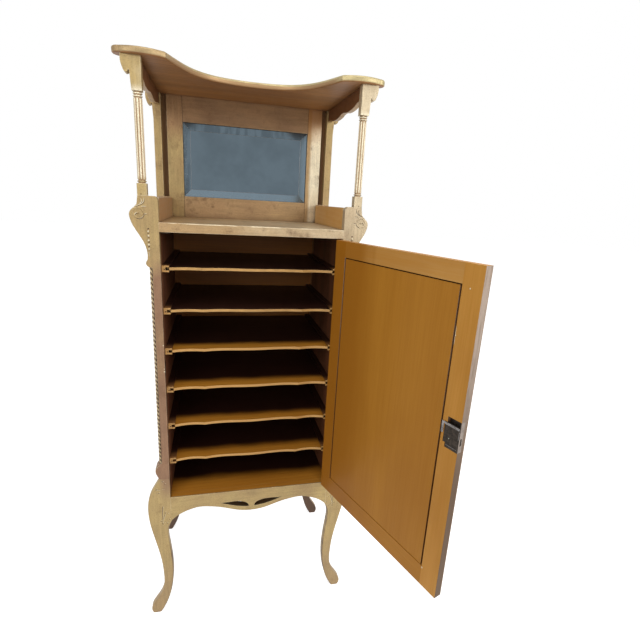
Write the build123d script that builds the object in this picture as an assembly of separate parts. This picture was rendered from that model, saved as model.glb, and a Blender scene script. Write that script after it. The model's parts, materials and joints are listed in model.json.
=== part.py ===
"""Sheet music cabinet: a tall case on shaped legs, with one door, six sliding shelves,
and a mirror back under a shaped canopy. Millimetres. The front looks along -Y, +X is the
viewer's right and +Z is up. The origin is the middle of the front left foot's underside.
Every piece is first made around the cabinet's own middle plane, then moved to that origin.
"""

import os

from build123d import *

os.makedirs("parts", exist_ok=True)

# Main sizes of the case
board_t = 20.0
open_w = 421.0
open_h = 682.0
case_z = 371.0
case_d = 302.0
side_t = 20.0
deck_t = 20.5
bottom_t = 16.0
back_t = 6.0
ear_top_h = 55.0
gallery_h = 52.5
upper_h = 321.5
canopy_t = 13.3
side_skirt = 22.0
overrun = 2.0

# Legs: a flat board sawn to a double curve
neck_z = 428.0
leg_reach = 61.5
leg_round = 3.0
apron_h = 72.0
back_rail_h = 56.0
leg_outer_shares = [
    (0.42, 1.0),
    (0.58, 0.957),
    (0.80, 0.897),
    (0.919, 0.804),
    (0.878, 0.70),
    (0.748, 0.60),
    (0.585, 0.493),
    (0.455, 0.383),
    (0.411, 0.297),
    (0.44, 0.20),
    (0.60, 0.138),
    (0.84, 0.084),
    (0.985, 0.042),
    (0.93, 0.0),
]
leg_inner_shares = [
    (0.58, 0.0),
    (0.252, 0.096),
    (0.078, 0.192),
    (0.0, 0.294),
    (0.02, 0.423),
    (0.106, 0.54),
    (0.138, 0.622),
    (0.0, 0.69),
]

# Front apron: its lower edge, and the two leaves pierced through it
apron_edge_shares = [
    (1.0, 1.0),
    (0.90, 0.757),
    (0.76, 0.583),
    (0.65, 0.52),
    (0.54, 0.545),
    (0.37, 0.653),
    (0.157, 0.847),
    (0.0, 0.896),
]
leaf_in_x = 7.5
leaf_len = 76.0
leaf_in_drop = 52.0
leaf_h = 20.0
leaf_top_shares = [(1.0, 0.98), (0.60, 1.0), (0.20, 0.83), (0.03, 0.42), (0.0, 0.0)]
leaf_low_shares = [(0.0, 0.0), (0.23, 0.09), (0.67, 0.51), (1.0, 0.98)]

# Stiles: straight, with a bump above the leg and an ear at the head
stile_w = 23.0
bump_reach = 10.0
bump_h = 46.0
bump_shares = [(0.28, 0.0), (0.42, 0.12), (0.96, 0.40), (1.0, 0.62), (0.73, 0.84), (0.0, 1.0)]
ear_reach = 36.5
ear_h = 154.5
ear_bead_shares = [(0.0, 0.0), (0.19, 0.05), (0.1, 0.115)]
ear_sweep_shares = [
    (0.1, 0.115),
    (0.105, 0.245),
    (0.26, 0.36),
    (0.60, 0.50),
    (0.89, 0.63),
    (1.0, 0.735),
]
ear_head_shares = [(1.0, 0.735), (0.90, 0.80), (0.68, 0.85), (0.55, 0.89)]
ear_corner_r = 10.0
scroll_r = 10.5
scroll_wire_r = 1.4
scroll_in = 18.0
scroll_drop = 36.0
bead_count = 5
bead_r = 2.2
bead_long_share = 2.0
bead_pitch = 9.6
bead_first_drop = 74.5
bead_in = 22.0
rope_side = 6.4
rope_proud = 0.6

# Posts, their brackets and the valances between them
post_w = 19.5
post_out = 17.75
post_block_h = 25.0
top_block_h = 64.0
turned_r = 9.4
groove_r = 7.4
groove_h = 2.4
ring_h = 2.8
ring_round = 1.2
top_ring_count = 2
foot_ring_count = 1
shaft_core_r = 6.9
reed_count = 8
reed_r = 2.5
reed_ring_r = 6.3
bracket_reach = 18.5
bracket_h = 32.0
bracket_curl_shares = [(1.0, 0.30), (0.94, 0.56), (0.80, 0.80), (0.58, 1.0), (0.34, 0.97), (0.23, 0.80)]
bracket_tail_shares = [(0.23, 0.80), (0.13, 0.94), (0.0, 2.0)]
valance_t = 12.0
valance_h = 37.5
valance_quarter_shares = [(0.0, 0.75), (0.07, 0.79), (0.135, 0.87), (0.18, 0.94)]
valance_drop_shares = [(0.18, 0.94), (0.30, 1.0), (0.41, 0.94)]
valance_arch_shares = [(0.41, 0.94), (0.445, 0.88), (0.5, 0.85)]

# Canopy: half of its outline seen from above, from the hollow front round to the back
canopy_side_x = 262.0
canopy_corner_x = 184.0
canopy_corner_y = 3.0
canopy_nose_x = 236.0
canopy_nose_out = 12.0
canopy_shoulder_x = 272.0
canopy_shoulder_out = 3.0
canopy_tip_x = 286.0
canopy_tip_y = 14.0
canopy_under_x = 276.0
canopy_under_y = 27.0
canopy_waist_y = 62.0
canopy_hollow = 153.5
canopy_hollow_shares = [(0.87, 0.36), (0.735, 0.64), (0.50, 0.885), (0.245, 0.977)]
canopy_round = 4.0

# Mirror and its frame
frame_side_gap = 13.75
frame_t = 12.0
frame_stile_w = 41.0
mirror_rail_low = 57.5
mirror_rail_top = 66.0
mirror_t = 5.0
mirror_set_back = 4.0
rebate_w = 4.0
bevel_w = 24.0
bevel_t = 1.2

# Shelves and the grooved runners that carry them
shelf_count = 6
shelf_first = 95.0
shelf_top_space = 84.5
shelf_t = 6.5
runner_side = 15.5
runner_groove_deep = 8.0
shelf_tongue = 6.0
shelf_tongue_back = 12.0
slide_gap = 0.3
shelf_front_gap = 4.0
shelf_back_gap = 4.0
scoop = 7.0
scoop_end_shares = [(1.0, 0.0), (0.80, 1.0), (0.62, 0.3)]
scoop_mid_shares = [(0.62, 0.3), (0.37, 0.93), (0.0, 0.43)]

# Door: frame and panel, hung on the right and shown open
door_t = 18.0
door_gap = 2.0
door_hinge_gap = 1.0
door_lock_w = 42.0
door_hinge_w = 38.5
door_foot_w = 45.0
door_head_w = 37.0
door_shown_deg = 110.2
panel_t = 13.0
panel_step = 1.0
panel_gap = 2.5
panel_lock_gap = 4.5
panel_tongue = 7.0
panel_tongue_t = 4.0
panel_tongue_drop = 8.0
panel_slot_gap = 1.0

# Butt hinges
pin_out = 2.0
pin_in = 0.5
pin_r = 1.3
pin_gap = 0.05
barrel_r = 2.8
barrel_gap = 0.3
hinge_h = 50.0
hinge_from_end = 75.0
hinge_leaf_w = 17.0
hinge_leaf_t = 1.6
knuckle_count = 3
knuckle_gap = 0.2
pin_head_r = 2.2
pin_head_h = 1.5
screw_r = 1.3
screw_head_r = 2.6
screw_head_t = 1.1
screw_len = 12.0
screw_gap = 0.1
screw_count = 3
screw_pitch = 17.0
screw_y = 10.5

# Lock, its bolt and the plate that takes the bolt
lock_up = 335.0
lock_w = 30.0
lock_h = 50.0
lock_deep = 10.0
lock_wing_w = 5.5
lock_wing_up = 9.0
lock_wing_t = 3.0
lock_bed_h = 62.0
lock_bed_gap = 0.5
lock_plate_t = 2.0
cover_in = 2.0
cover_w = 40.0
cover_h = 4.0
cover_drop = 0.5
cover_t = 1.5
tab_w = 4.5
tab_h = 23.5
bolt_up = 21.5
bolt_t = 4.0
bolt_h = 14.0
bolt_len = 20.0
bolt_throw = 8.0
bolt_gap = 0.2
bolt_sunk = 0.5
strike_h = 40.0
strike_w = 12.0
strike_t = 1.5
pocket_deep = 11.0
pocket_gap = 1.5
key_in = 22.7
key_up = 20.0
key_pin_r = 1.2
key_pin_proud = 0.6
key_r = 2.6
key_slot_w = 2.4
key_slot_h = 9.0
key_plate_w = 17.0
key_plate_h = 30.0
key_plate_t = 1.2
stop_w = 18.0
stop_d = 12.0
stop_t = 4.0
stop_gap = 0.5
stop_in = 2.5

# Places worked out from the sizes
half_open = open_w / 2
stile_out_x = half_open + stile_w
side_out_x = half_open + side_t
back_y = board_t + case_d
rear_y = back_y + board_t
deck_z = case_z + open_h
deck_top = deck_z + deck_t
ear_top = deck_top + ear_top_h
gallery_top = deck_top + gallery_h
canopy_z = deck_top + upper_h
canopy_top = canopy_z + canopy_t
bottom_z = case_z - bottom_t
skirt_z = bottom_z - side_skirt
post_x = stile_out_x + post_out - post_w / 2
post_in_x = post_x - post_w / 2
post_out_x = post_x + post_w / 2
top_block_z = canopy_z - top_block_h
frame_x = post_in_x - frame_side_gap
frame_y = rear_y - frame_t
mirror_x = frame_x - frame_stile_w
mirror_low_z = deck_top + mirror_rail_low
mirror_high_z = canopy_z - mirror_rail_top
foot_x = half_open + leg_reach * (leg_outer_shares[-1][0] + leg_inner_shares[0][0]) / 2
foot_y = board_t / 2
pin_x = half_open - pin_in
door_hinge_x = half_open - door_hinge_gap
door_free_x = door_gap - half_open
door_low_z = case_z + door_gap
door_high_z = deck_z - door_gap
door_in_x0 = door_free_x + door_lock_w
door_in_x1 = door_hinge_x - door_hinge_w
door_in_z0 = door_low_z + door_foot_w
door_in_z1 = door_high_z - door_head_w
panel_y1 = door_t - panel_step
slot_y1 = panel_y1 - panel_tongue_drop
slot_y0 = slot_y1 - panel_tongue_t
shelf_y0 = door_t + shelf_front_gap
shelf_y1 = rear_y - shelf_back_gap
shelf_x = half_open - runner_side
shelf_pitch = (open_h - shelf_first - shelf_top_space) / (shelf_count - 1)
lock_z0 = case_z + lock_up
lock_x1 = door_free_x + lock_w
lock_top = lock_z0 + lock_h
lock_y0 = door_t - lock_deep
key_x = door_free_x + key_in
key_z = lock_z0 + key_up
bolt_y = (lock_y0 + door_t) / 2
bolt_z = lock_z0 + bolt_up
hinge_zs = [door_low_z + hinge_from_end, door_high_z - hinge_from_end - hinge_h]
pin_place = (pin_x, -pin_out, 0)


def boxed(x0, x1, y0, y1, z0, z1):
    """A plain board between two corners."""
    middle = ((x0 + x1) / 2, (y0 + y1) / 2, (z0 + z1) / 2)
    return Pos(*middle) * Box(abs(x1 - x0), y1 - y0, z1 - z0)


def from_left(shape):
    """The same piece on the other side of the middle plane."""
    return mirror(shape, about=Plane.YZ)


def front_points(shares, x0, reach, z0, height):
    """Outline points seen from the front, as shares of a reach and a height."""
    return [(x0 + reach * across, 0, z0 + height * up) for across, up in shares]


def sawn(outline, y0, thickness):
    """A board sawn to an outline seen from the front."""
    return Pos(0, y0, 0) * extrude(make_face(outline), amount=thickness, dir=(0, 1, 0))


def upright(radius, x, y, z0, z1):
    """A round bar standing between two heights."""
    return Pos(x, y, (z0 + z1) / 2) * Cylinder(radius, z1 - z0)


def leg(y0):
    """A right hand leg with rounded edges and a flat underside."""
    outer = front_points(leg_outer_shares, half_open, leg_reach, 0, neck_z)
    inner = front_points(leg_inner_shares, half_open, leg_reach, 0, neck_z)
    head = (half_open, 0, neck_z)
    outline = [
        Spline(*outer),
        Line(outer[-1], inner[0]),
        Spline(*inner),
        Line(inner[-1], head),
        Line(head, outer[0]),
    ]
    board = sawn(outline, y0, board_t)
    curved = board.edges().filter_by(GeomType.BSPLINE)
    return fillet(curved, leg_round)


def pierced_leaf():
    """The cutter for the right hand leaf: round at its inner end and pointed at the other."""
    low_z = case_z - leaf_in_drop
    top = front_points(leaf_top_shares, leaf_in_x, leaf_len, low_z, leaf_h)
    low = front_points(leaf_low_shares, leaf_in_x, leaf_len, low_z, leaf_h)
    return sawn([Spline(*top), Spline(*low)], -overrun, board_t + 2 * overrun)


def front_apron():
    """The shaped rail under the door, with two leaves pierced through it."""
    right = [(half_open * across, 0, case_z - apron_h * down) for across, down in apron_edge_shares]
    left = [(-x, y, z) for x, y, z in reversed(right[:-1])]
    corner_right = (half_open, 0, case_z)
    corner_left = (-half_open, 0, case_z)
    outline = [
        Spline(*(right + left)),
        Line(left[-1], corner_left),
        Line(corner_left, corner_right),
        Line(corner_right, right[0]),
    ]
    leaf = pierced_leaf()
    return sawn(outline, 0, board_t) - leaf - from_left(leaf)


def stile_board(y0):
    """A right hand stile from the neck of the leg to the top of the ear."""
    ear_z = ear_top - ear_h
    bump = front_points(bump_shares, stile_out_x, bump_reach, neck_z, bump_h)
    bead = front_points(ear_bead_shares, stile_out_x, ear_reach, ear_z, ear_h)
    sweep = front_points(ear_sweep_shares, stile_out_x, ear_reach, ear_z, ear_h)
    head = front_points(ear_head_shares, stile_out_x, ear_reach, ear_z, ear_h)
    post_foot = (post_out_x, 0, ear_top)
    corner = (half_open, 0, ear_top)
    foot = (half_open, 0, neck_z)
    outline = [
        Line(foot, bump[0]),
        Spline(*bump),
        Line(bump[-1], bead[0]),
        Spline(*bead),
        Spline(*sweep),
        Spline(*head),
        Line(head[-1], post_foot),
        Line(post_foot, corner),
        Line(corner, foot),
    ]
    board = sawn(outline, y0, board_t)
    inner_corner = board.edges().filter_by(Axis.Y).group_by(Axis.X)[0].sort_by(Axis.Z)[-1]
    return fillet(inner_corner, ear_corner_r)


def ear_carving():
    """The scroll ring and the string of beads on the face of the ear."""
    ring_place = Pos(stile_out_x + scroll_in, 0, ear_top - scroll_drop)
    carving = ring_place * (Rot(X=90) * Torus(scroll_r, scroll_wire_r) + Sphere(bead_r))
    for step in range(bead_count):
        place = Pos(half_open + bead_in, 0, ear_top - bead_first_drop - bead_pitch * step)
        carving += place * scale(Sphere(bead_r), by=(1, 1, bead_long_share))
    return carving


def rope_rebate(grow):
    """The square step in the outer corner of a stile that takes the rope moulding."""
    inner_x = stile_out_x + rope_proud - rope_side
    return boxed(inner_x, stile_out_x + rope_proud + grow, -rope_proud - grow, rope_side - rope_proud,
                 neck_z + bump_h, ear_top - ear_h)


def rope_moulding():
    """A round rod with a square back, which fills the step in the stile."""
    rod_x = stile_out_x + rope_proud - rope_side / 2
    rod_y = rope_side / 2 - rope_proud
    rod = upright(rope_side / 2, rod_x, rod_y, neck_z + bump_h, ear_top - ear_h)
    heel = boxed(rod_x - rope_side / 2, rod_x, rod_y, rod_y + rope_side / 2, neck_z + bump_h, ear_top - ear_h)
    return rod + heel


def plain_front_stile():
    """A right hand front stile, before the hinges or the lock are let in."""
    return stile_board(0) - rope_rebate(overrun) + ear_carving()


def hinge_stile():
    """The right hand front stile, cut for the hinges."""
    return plain_front_stile() - hinge_cuts(half_open, 1)


def lock_stile():
    """The left hand front stile, cut for the strike plate and the bolt."""
    return from_left(plain_front_stile()) - strike_blank() - bolt_pocket()


def back_stile():
    """A right hand back stile, cut back above the deck to clear the mirror frame."""
    frame_bed = boxed(half_open - overrun, frame_x, frame_y, rear_y + overrun, deck_top, ear_top + overrun)
    return stile_board(back_y) - frame_bed


def deck():
    """The top of the case, notched around the four stiles."""
    return boxed(-half_open, half_open, 0, rear_y, deck_z, deck_top) + boxed(
        -side_out_x, side_out_x, board_t, back_y, deck_z, deck_top
    )


def turning(z0, ring_count):
    """Rings turned between the blocks and the reeded shaft."""
    middle_y = board_t / 2
    rings = upright(groove_r, post_x, middle_y, z0, z0 + groove_h)
    for ring in range(ring_count):
        ring_z = z0 + groove_h + (ring_h + groove_h) * ring
        bead = upright(turned_r, post_x, middle_y, ring_z, ring_z + ring_h)
        rings += fillet(bead.edges().filter_by(GeomType.CIRCLE), ring_round)
        rings += upright(groove_r, post_x, middle_y, ring_z + ring_h, ring_z + ring_h + groove_h)
    return rings


def turning_height(ring_count):
    """The height that a stack of rings takes up."""
    return groove_h + (ring_h + groove_h) * ring_count


def reeded_shaft(z0, z1):
    """A round core with half round reeds standing around it."""
    shaft = upright(shaft_core_r, post_x, board_t / 2, z0, z1)
    for place in PolarLocations(reed_ring_r, reed_count):
        spot = place.position
        shaft += upright(reed_r, post_x + spot.X, board_t / 2 + spot.Y, z0, z1)
    return shaft


def head_bracket(y0):
    """The scrolled bracket on the outer side of a post, under the canopy."""
    curl = front_points(bracket_curl_shares, post_out_x, bracket_reach, canopy_z, -bracket_h)
    tail = front_points(bracket_tail_shares, post_out_x, bracket_reach, canopy_z, -bracket_h)
    top_out = (post_out_x + bracket_reach, 0, canopy_z)
    top_in = (post_out_x, 0, canopy_z)
    outline = [
        Line(top_in, top_out),
        Line(top_out, curl[0]),
        Spline(*curl),
        Polyline(*tail),
        Line(tail[-1], top_in),
    ]
    return sawn(outline, y0, board_t)


def front_post():
    """A right hand front post: square blocks, turned rings and a reeded shaft."""
    foot_top = ear_top + post_block_h
    shaft_z0 = foot_top + turning_height(foot_ring_count)
    shaft_z1 = top_block_z - turning_height(top_ring_count)
    post = boxed(post_in_x, post_out_x, 0, board_t, ear_top, foot_top)
    post += turning(foot_top, foot_ring_count)
    post += reeded_shaft(shaft_z0, shaft_z1)
    post += turning(shaft_z1, top_ring_count)
    post += boxed(post_in_x, post_out_x, 0, board_t, top_block_z, canopy_z)
    return post + head_bracket(0)


def back_post():
    """A right hand back post: a plain square bar with the same bracket."""
    return boxed(post_in_x, post_out_x, back_y, rear_y, ear_top, canopy_z) + head_bracket(back_y)


def valance_points(shares, from_back):
    """Points of the valance's lower edge, counted from its front or from its back."""
    points = []
    for along, down in shares:
        share = 1 - along if from_back else along
        points.append((0, board_t + case_d * share, canopy_z - valance_h * down))
    return points


def side_valance():
    """A right hand valance under the canopy, with an arched lower edge."""
    arch = valance_points(valance_arch_shares, False) + valance_points(valance_arch_shares[-2::-1], True)
    quarter_front = valance_points(valance_quarter_shares, False)
    quarter_back = valance_points(valance_quarter_shares, True)
    top_front = (0, board_t, canopy_z)
    top_back = (0, back_y, canopy_z)
    outline = [
        Line(top_front, quarter_front[0]),
        Spline(*quarter_front),
        Spline(*valance_points(valance_drop_shares, False)),
        Spline(*arch),
        Spline(*valance_points(valance_drop_shares, True)),
        Spline(*quarter_back),
        Line(quarter_back[0], top_back),
        Line(top_back, top_front),
    ]
    board = extrude(make_face(outline), amount=valance_t, dir=(1, 0, 0))
    return Pos(post_x - valance_t / 2, 0, 0) * board


def canopy_ear(side):
    """The outline around one ear of the canopy, from its front corner to its back."""
    corner = (side * canopy_corner_x, canopy_corner_y)
    nose = (side * canopy_nose_x, -canopy_nose_out)
    shoulder = (side * canopy_shoulder_x, -canopy_shoulder_out)
    tip = (side * canopy_tip_x, canopy_tip_y)
    under = (side * canopy_under_x, canopy_under_y)
    waist = (side * canopy_side_x, canopy_waist_y)
    back = (side * canopy_side_x, rear_y + back_t)
    return [
        Spline(corner, nose, shoulder),
        ThreePointArc(shoulder, tip, under),
        Spline(under, waist, tangents=[(-side, 1), (0, 1)]),
        Line(waist, back),
    ]


def canopy():
    """The top board, with a hollow front, two ears and rounded edges."""
    hollow = [
        (canopy_corner_x * across, canopy_corner_y + (canopy_hollow - canopy_corner_y) * back)
        for across, back in canopy_hollow_shares
    ]
    corner = (canopy_corner_x, canopy_corner_y)
    middle = (0, canopy_hollow)
    right = [corner] + hollow
    left = [(-x, y) for x, y in reversed(right)]
    back_edge = Line((canopy_side_x, rear_y + back_t), (-canopy_side_x, rear_y + back_t))
    outline = [Spline(*(right + [middle] + left)), back_edge] + canopy_ear(1) + canopy_ear(-1)
    board = Pos(0, 0, canopy_z) * extrude(make_face(outline), amount=canopy_t)
    faces = board.faces().filter_by(Axis.Z)
    return fillet(faces.edges().filter_by(lambda edge: edge.center().Y < rear_y), canopy_round)


def mirror_rebate():
    """The cutter for the step behind the frame that takes the glass."""
    return boxed(-mirror_x - rebate_w, mirror_x + rebate_w, frame_y + mirror_set_back, rear_y + overrun,
                 mirror_low_z - rebate_w, mirror_high_z + rebate_w)


def mirror_stile():
    """The right hand upright of the mirror frame."""
    return boxed(mirror_x, frame_x, frame_y, rear_y, deck_top, canopy_z) - mirror_rebate()


def mirror_rail(z0, z1):
    """A rail of the mirror frame between its uprights."""
    return boxed(-mirror_x, mirror_x, frame_y, rear_y, z0, z1) - mirror_rebate()


def mirror_glass():
    """The glass, bevelled around its front, standing in the step of the frame."""
    glass_w = 2 * (mirror_x + rebate_w)
    glass_h = mirror_high_z - mirror_low_z + 2 * rebate_w
    glass_y = frame_y + mirror_set_back
    middle_z = (mirror_low_z + mirror_high_z) / 2
    slab = boxed(-glass_w / 2, glass_w / 2, glass_y + bevel_t, glass_y + mirror_t,
                 mirror_low_z - rebate_w, mirror_high_z + rebate_w)
    upright_plane = Rot(X=90)
    wide = Pos(0, glass_y + bevel_t, middle_z) * upright_plane * Rectangle(glass_w, glass_h)
    narrow = Pos(0, glass_y, middle_z) * upright_plane * Rectangle(
        glass_w - 2 * bevel_w, glass_h - 2 * bevel_w
    )
    return slab + loft([wide, narrow])


def shelf_z(level):
    """The height of the middle of one shelf."""
    return case_z + shelf_first + shelf_pitch * level


def runner_pair(level):
    """Two grooved battens that carry one shelf."""
    middle_z = shelf_z(level)
    half_side = runner_side / 2
    batten = boxed(shelf_x, half_open, shelf_y0, rear_y, middle_z - half_side, middle_z + half_side)
    half_groove = shelf_t / 2 + slide_gap
    batten -= boxed(shelf_x - overrun, shelf_x + runner_groove_deep, shelf_y0 - overrun, rear_y + overrun,
                    middle_z - half_groove, middle_z + half_groove)
    return batten + from_left(batten)


def scoop_points(shares):
    """Points of a shelf's front edge seen from above."""
    half_w = shelf_x - slide_gap
    return [(half_w * across, shelf_y0 + scoop * back) for across, back in shares]


def shelf(level):
    """A thin shelf with a scooped front edge and a tongue along each side."""
    half_w = shelf_x - slide_gap
    tongue_x = shelf_x + shelf_tongue
    tongue_y = shelf_y0 + shelf_tongue_back
    end = scoop_points(scoop_end_shares)
    middle = scoop_points(scoop_mid_shares)
    front = [(-x, y) for x, y in middle[:-1]] + middle[::-1]
    edges = Polyline((half_w, shelf_y0), (half_w, tongue_y), (tongue_x, tongue_y), (tongue_x, shelf_y1),
                     (-tongue_x, shelf_y1), (-tongue_x, tongue_y), (-half_w, tongue_y), (-half_w, shelf_y0))
    outline = [Spline(*front), Spline(*end), Spline(*[(-x, y) for x, y in end]), edges]
    return Pos(0, 0, shelf_z(level) - shelf_t / 2) * extrude(make_face(outline), amount=shelf_t)


def shown_open(shape):
    """Swing a piece of the closed door to the angle it is shown at."""
    return Pos(*pin_place) * Rot(Z=door_shown_deg) * Pos(-pin_x, pin_out, 0) * shape


def panel_slot():
    """The cutter for the groove around the inside of the door frame."""
    reach = panel_tongue + panel_slot_gap
    return boxed(door_in_x0 - reach, door_in_x1 + reach, slot_y0, slot_y1,
                 door_in_z0 - panel_tongue, door_in_z1 + reach)


def door_panel():
    """The panel: thick in the middle, tight on the bottom rail, with a thin tongue around it."""
    tongue = boxed(door_in_x0 - panel_tongue, door_in_x1 + panel_tongue, slot_y0, slot_y1,
                   door_in_z0 - panel_tongue, door_in_z1 + panel_tongue)
    return tongue + boxed(door_in_x0 + panel_lock_gap, door_in_x1 - panel_gap, panel_y1 - panel_t, panel_y1,
                          door_in_z0, door_in_z1 - panel_gap)


def door_hinge_stile():
    """The upright of the door that carries the hinges."""
    upright_board = boxed(door_in_x1, door_hinge_x, 0, door_t, door_low_z, door_high_z)
    return upright_board - panel_slot() - hinge_cuts(door_hinge_x, -1)


def lock_bed():
    """The cutter for the recess that the lock and its wing lie in."""
    gap = lock_bed_gap
    bed = boxed(door_free_x - overrun, lock_x1 + gap, lock_y0, door_t + overrun,
                lock_z0 - gap, lock_z0 + lock_bed_h)
    return bed + boxed(lock_x1, lock_x1 + lock_wing_w + gap, door_t - lock_wing_t, door_t + overrun,
                       lock_z0 + lock_wing_up - gap, lock_top + gap)


def door_lock_stile():
    """The upright of the door that carries the lock."""
    board = boxed(door_free_x, door_in_x0, 0, door_t, door_low_z, door_high_z)
    return board - lock_bed() - panel_slot() - keyhole()


def door_rail(z0, z1):
    """A rail of the door between its uprights."""
    return boxed(door_in_x0, door_in_x1, 0, door_t, z0, z1) - panel_slot()


def keyhole():
    """The cutter for a keyhole from the outside of the door to the lock."""
    depth = lock_y0 + key_plate_t + overrun
    middle_y = lock_y0 - depth / 2
    hole = Pos(key_x, middle_y, key_z) * Rot(X=90) * Cylinder(key_r, depth)
    return hole + Pos(key_x, middle_y, key_z - key_slot_h / 2) * Box(key_slot_w, depth, key_slot_h)


def key_plate():
    """The plate around the keyhole on the outside of the door."""
    oval = Pos(key_x, 0, key_z) * Rot(X=90) * Ellipse(key_plate_w / 2, key_plate_h / 2)
    return extrude(oval, amount=key_plate_t) - keyhole()


def lock_case():
    """The lock: its body and wing, the plates behind it and on the door's edge, and its key pin."""
    wing_x = lock_x1 + lock_wing_w
    plate_x = door_free_x + lock_plate_t
    plate_y = lock_y0 + lock_plate_t
    plate_top = lock_z0 + lock_bed_h
    body = boxed(door_free_x, lock_x1, lock_y0, door_t, lock_z0, lock_top)
    body += boxed(lock_x1, wing_x, door_t - lock_wing_t, door_t, lock_z0 + lock_wing_up, lock_top)
    body += boxed(door_free_x, lock_x1, lock_y0, plate_y, lock_z0, plate_top)
    body += boxed(door_free_x, plate_x, lock_y0, door_t, lock_z0, plate_top)
    body += Pos(key_x, door_t, key_z) * Rot(X=90) * Cylinder(key_pin_r, 2 * key_pin_proud)
    return body - bolt_bar(door_free_x - overrun, bolt_gap)


def bolt_bar(x0, grow):
    """The bolt drawn back, or the slot for it when it is grown, starting at one place."""
    half_t = bolt_t / 2 + grow
    half_h = bolt_h / 2 + grow
    return boxed(x0, door_free_x + bolt_sunk + bolt_len + grow, bolt_y - half_t, bolt_y + half_t,
                 bolt_z - half_h, bolt_z + half_h)


def lock_cover():
    """The bright strip across the top of the lock, with a tab that hangs down beside the wing."""
    x0 = door_free_x + cover_in
    x1 = x0 + cover_w
    z1 = lock_top - cover_drop
    strip = boxed(x0, x1, door_t, door_t + cover_t, z1 - cover_h, z1)
    return strip + boxed(x1 - tab_w, x1, door_t, door_t + cover_t, z1 - tab_h, z1)


def bolt_pocket():
    """The cutter for the hole in the stile that the bolt enters."""
    half_t = bolt_t / 2 + pocket_gap
    half_h = bolt_h / 2 + pocket_gap
    return boxed(-half_open - pocket_deep, overrun - half_open, bolt_y - half_t, bolt_y + half_t,
                 bolt_z - half_h, bolt_z + half_h)


def strike_blank():
    """The outline of the strike plate, also used to let it in."""
    return boxed(-half_open - strike_t, -half_open, bolt_y - strike_w / 2, bolt_y + strike_w / 2,
                 bolt_z - strike_h / 2, bolt_z + strike_h / 2)


def strike_plate():
    """The plate on the left hand stile around the bolt's pocket."""
    return strike_blank() - bolt_pocket()


def door_stop():
    """The small metal stop under the deck that the shut door meets."""
    left_x = -half_open + stop_in
    front_y = door_t + stop_gap
    return boxed(left_x, left_x + stop_w, front_y, front_y + stop_d, deck_z - stop_t, deck_z)


def knuckle_bars(hinge_z, radius, first, grow):
    """Every second knuckle of a hinge as round bars, starting with the first one given."""
    pitch = (hinge_h + knuckle_gap) / knuckle_count
    bars = Part()
    for knuckle in range(first, knuckle_count, 2):
        z0 = hinge_z + pitch * knuckle
        bars += upright(radius, pin_x, -pin_out, z0 - grow, z0 + pitch - knuckle_gap + grow)
    return bars


def screw_row(hinge_z, face_x, side, grow):
    """The screws of one leaf with their heads flush, or the holes for them when grown."""
    screws = Part()
    for step in range(screw_count):
        z = hinge_z + hinge_h / 2 + screw_pitch * (step - (screw_count - 1) / 2)
        head_x = face_x + side * screw_head_t / 2
        shank_x = face_x + side * (screw_len + screw_head_t) / 2
        screws += Pos(head_x, screw_y, z) * Rot(Y=90) * Cylinder(screw_head_r + grow, screw_head_t)
        screws += Pos(shank_x, screw_y, z) * Rot(Y=90) * Cylinder(screw_r + grow, screw_len - screw_head_t)
    return screws


def hinge_leaf(hinge_z, face_x, side, first):
    """One leaf of a hinge with its own knuckles, bored for the pin and the screws."""
    leaf = boxed(face_x, face_x + side * hinge_leaf_t, -pin_out, hinge_leaf_w, hinge_z, hinge_z + hinge_h)
    leaf -= knuckle_bars(hinge_z, barrel_r + barrel_gap, 1 - first, knuckle_gap)
    leaf += knuckle_bars(hinge_z, barrel_r, first, 0)
    leaf -= upright(pin_r + pin_gap, pin_x, -pin_out, hinge_z - overrun, hinge_z + hinge_h + overrun)
    return leaf - screw_row(hinge_z, face_x, side, screw_gap)


def hinge_pin(hinge_z):
    """The pin of one hinge, hanging by its head on the top knuckle."""
    top_z = hinge_z + hinge_h
    pin = upright(pin_r, pin_x, -pin_out, hinge_z, top_z)
    return pin + upright(pin_head_r, pin_x, -pin_out, top_z, top_z + pin_head_h)


def hinge_cuts(face_x, side):
    """Everything cut from an upright for its hinge leaves, their knuckles and screws."""
    cuts = Part()
    for hinge_z in hinge_zs:
        cuts += boxed(face_x, face_x + side * hinge_leaf_t, -overrun, hinge_leaf_w,
                      hinge_z, hinge_z + hinge_h)
        cuts += upright(barrel_r + barrel_gap, pin_x, -pin_out, hinge_z - pin_head_h - overrun,
                        hinge_z + hinge_h + pin_head_h + overrun)
        cuts += screw_row(hinge_z, face_x, side, screw_gap)
    return cuts


def at_each_hinge(make, *choices):
    """The same hardware for both hinges, as one piece of the record."""
    low_z, high_z = hinge_zs
    return make(low_z, *choices) + make(high_z, *choices)


pieces = {}
for name, shape in {
    "leg_front": leg(0),
    "leg_back": leg(back_y),
    "rope_moulding": rope_moulding(),
    "case_side": boxed(half_open, side_out_x, board_t, back_y, skirt_z, deck_z),
    "gallery": boxed(half_open, side_out_x, board_t, back_y, deck_top, gallery_top),
    "back_stile": back_stile(),
    "front_post": front_post(),
    "back_post": back_post(),
    "side_valance": side_valance(),
    "mirror_stile": mirror_stile(),
}.items():
    pieces[name + "_right"] = shape
    pieces[name + "_left"] = from_left(shape)

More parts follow.
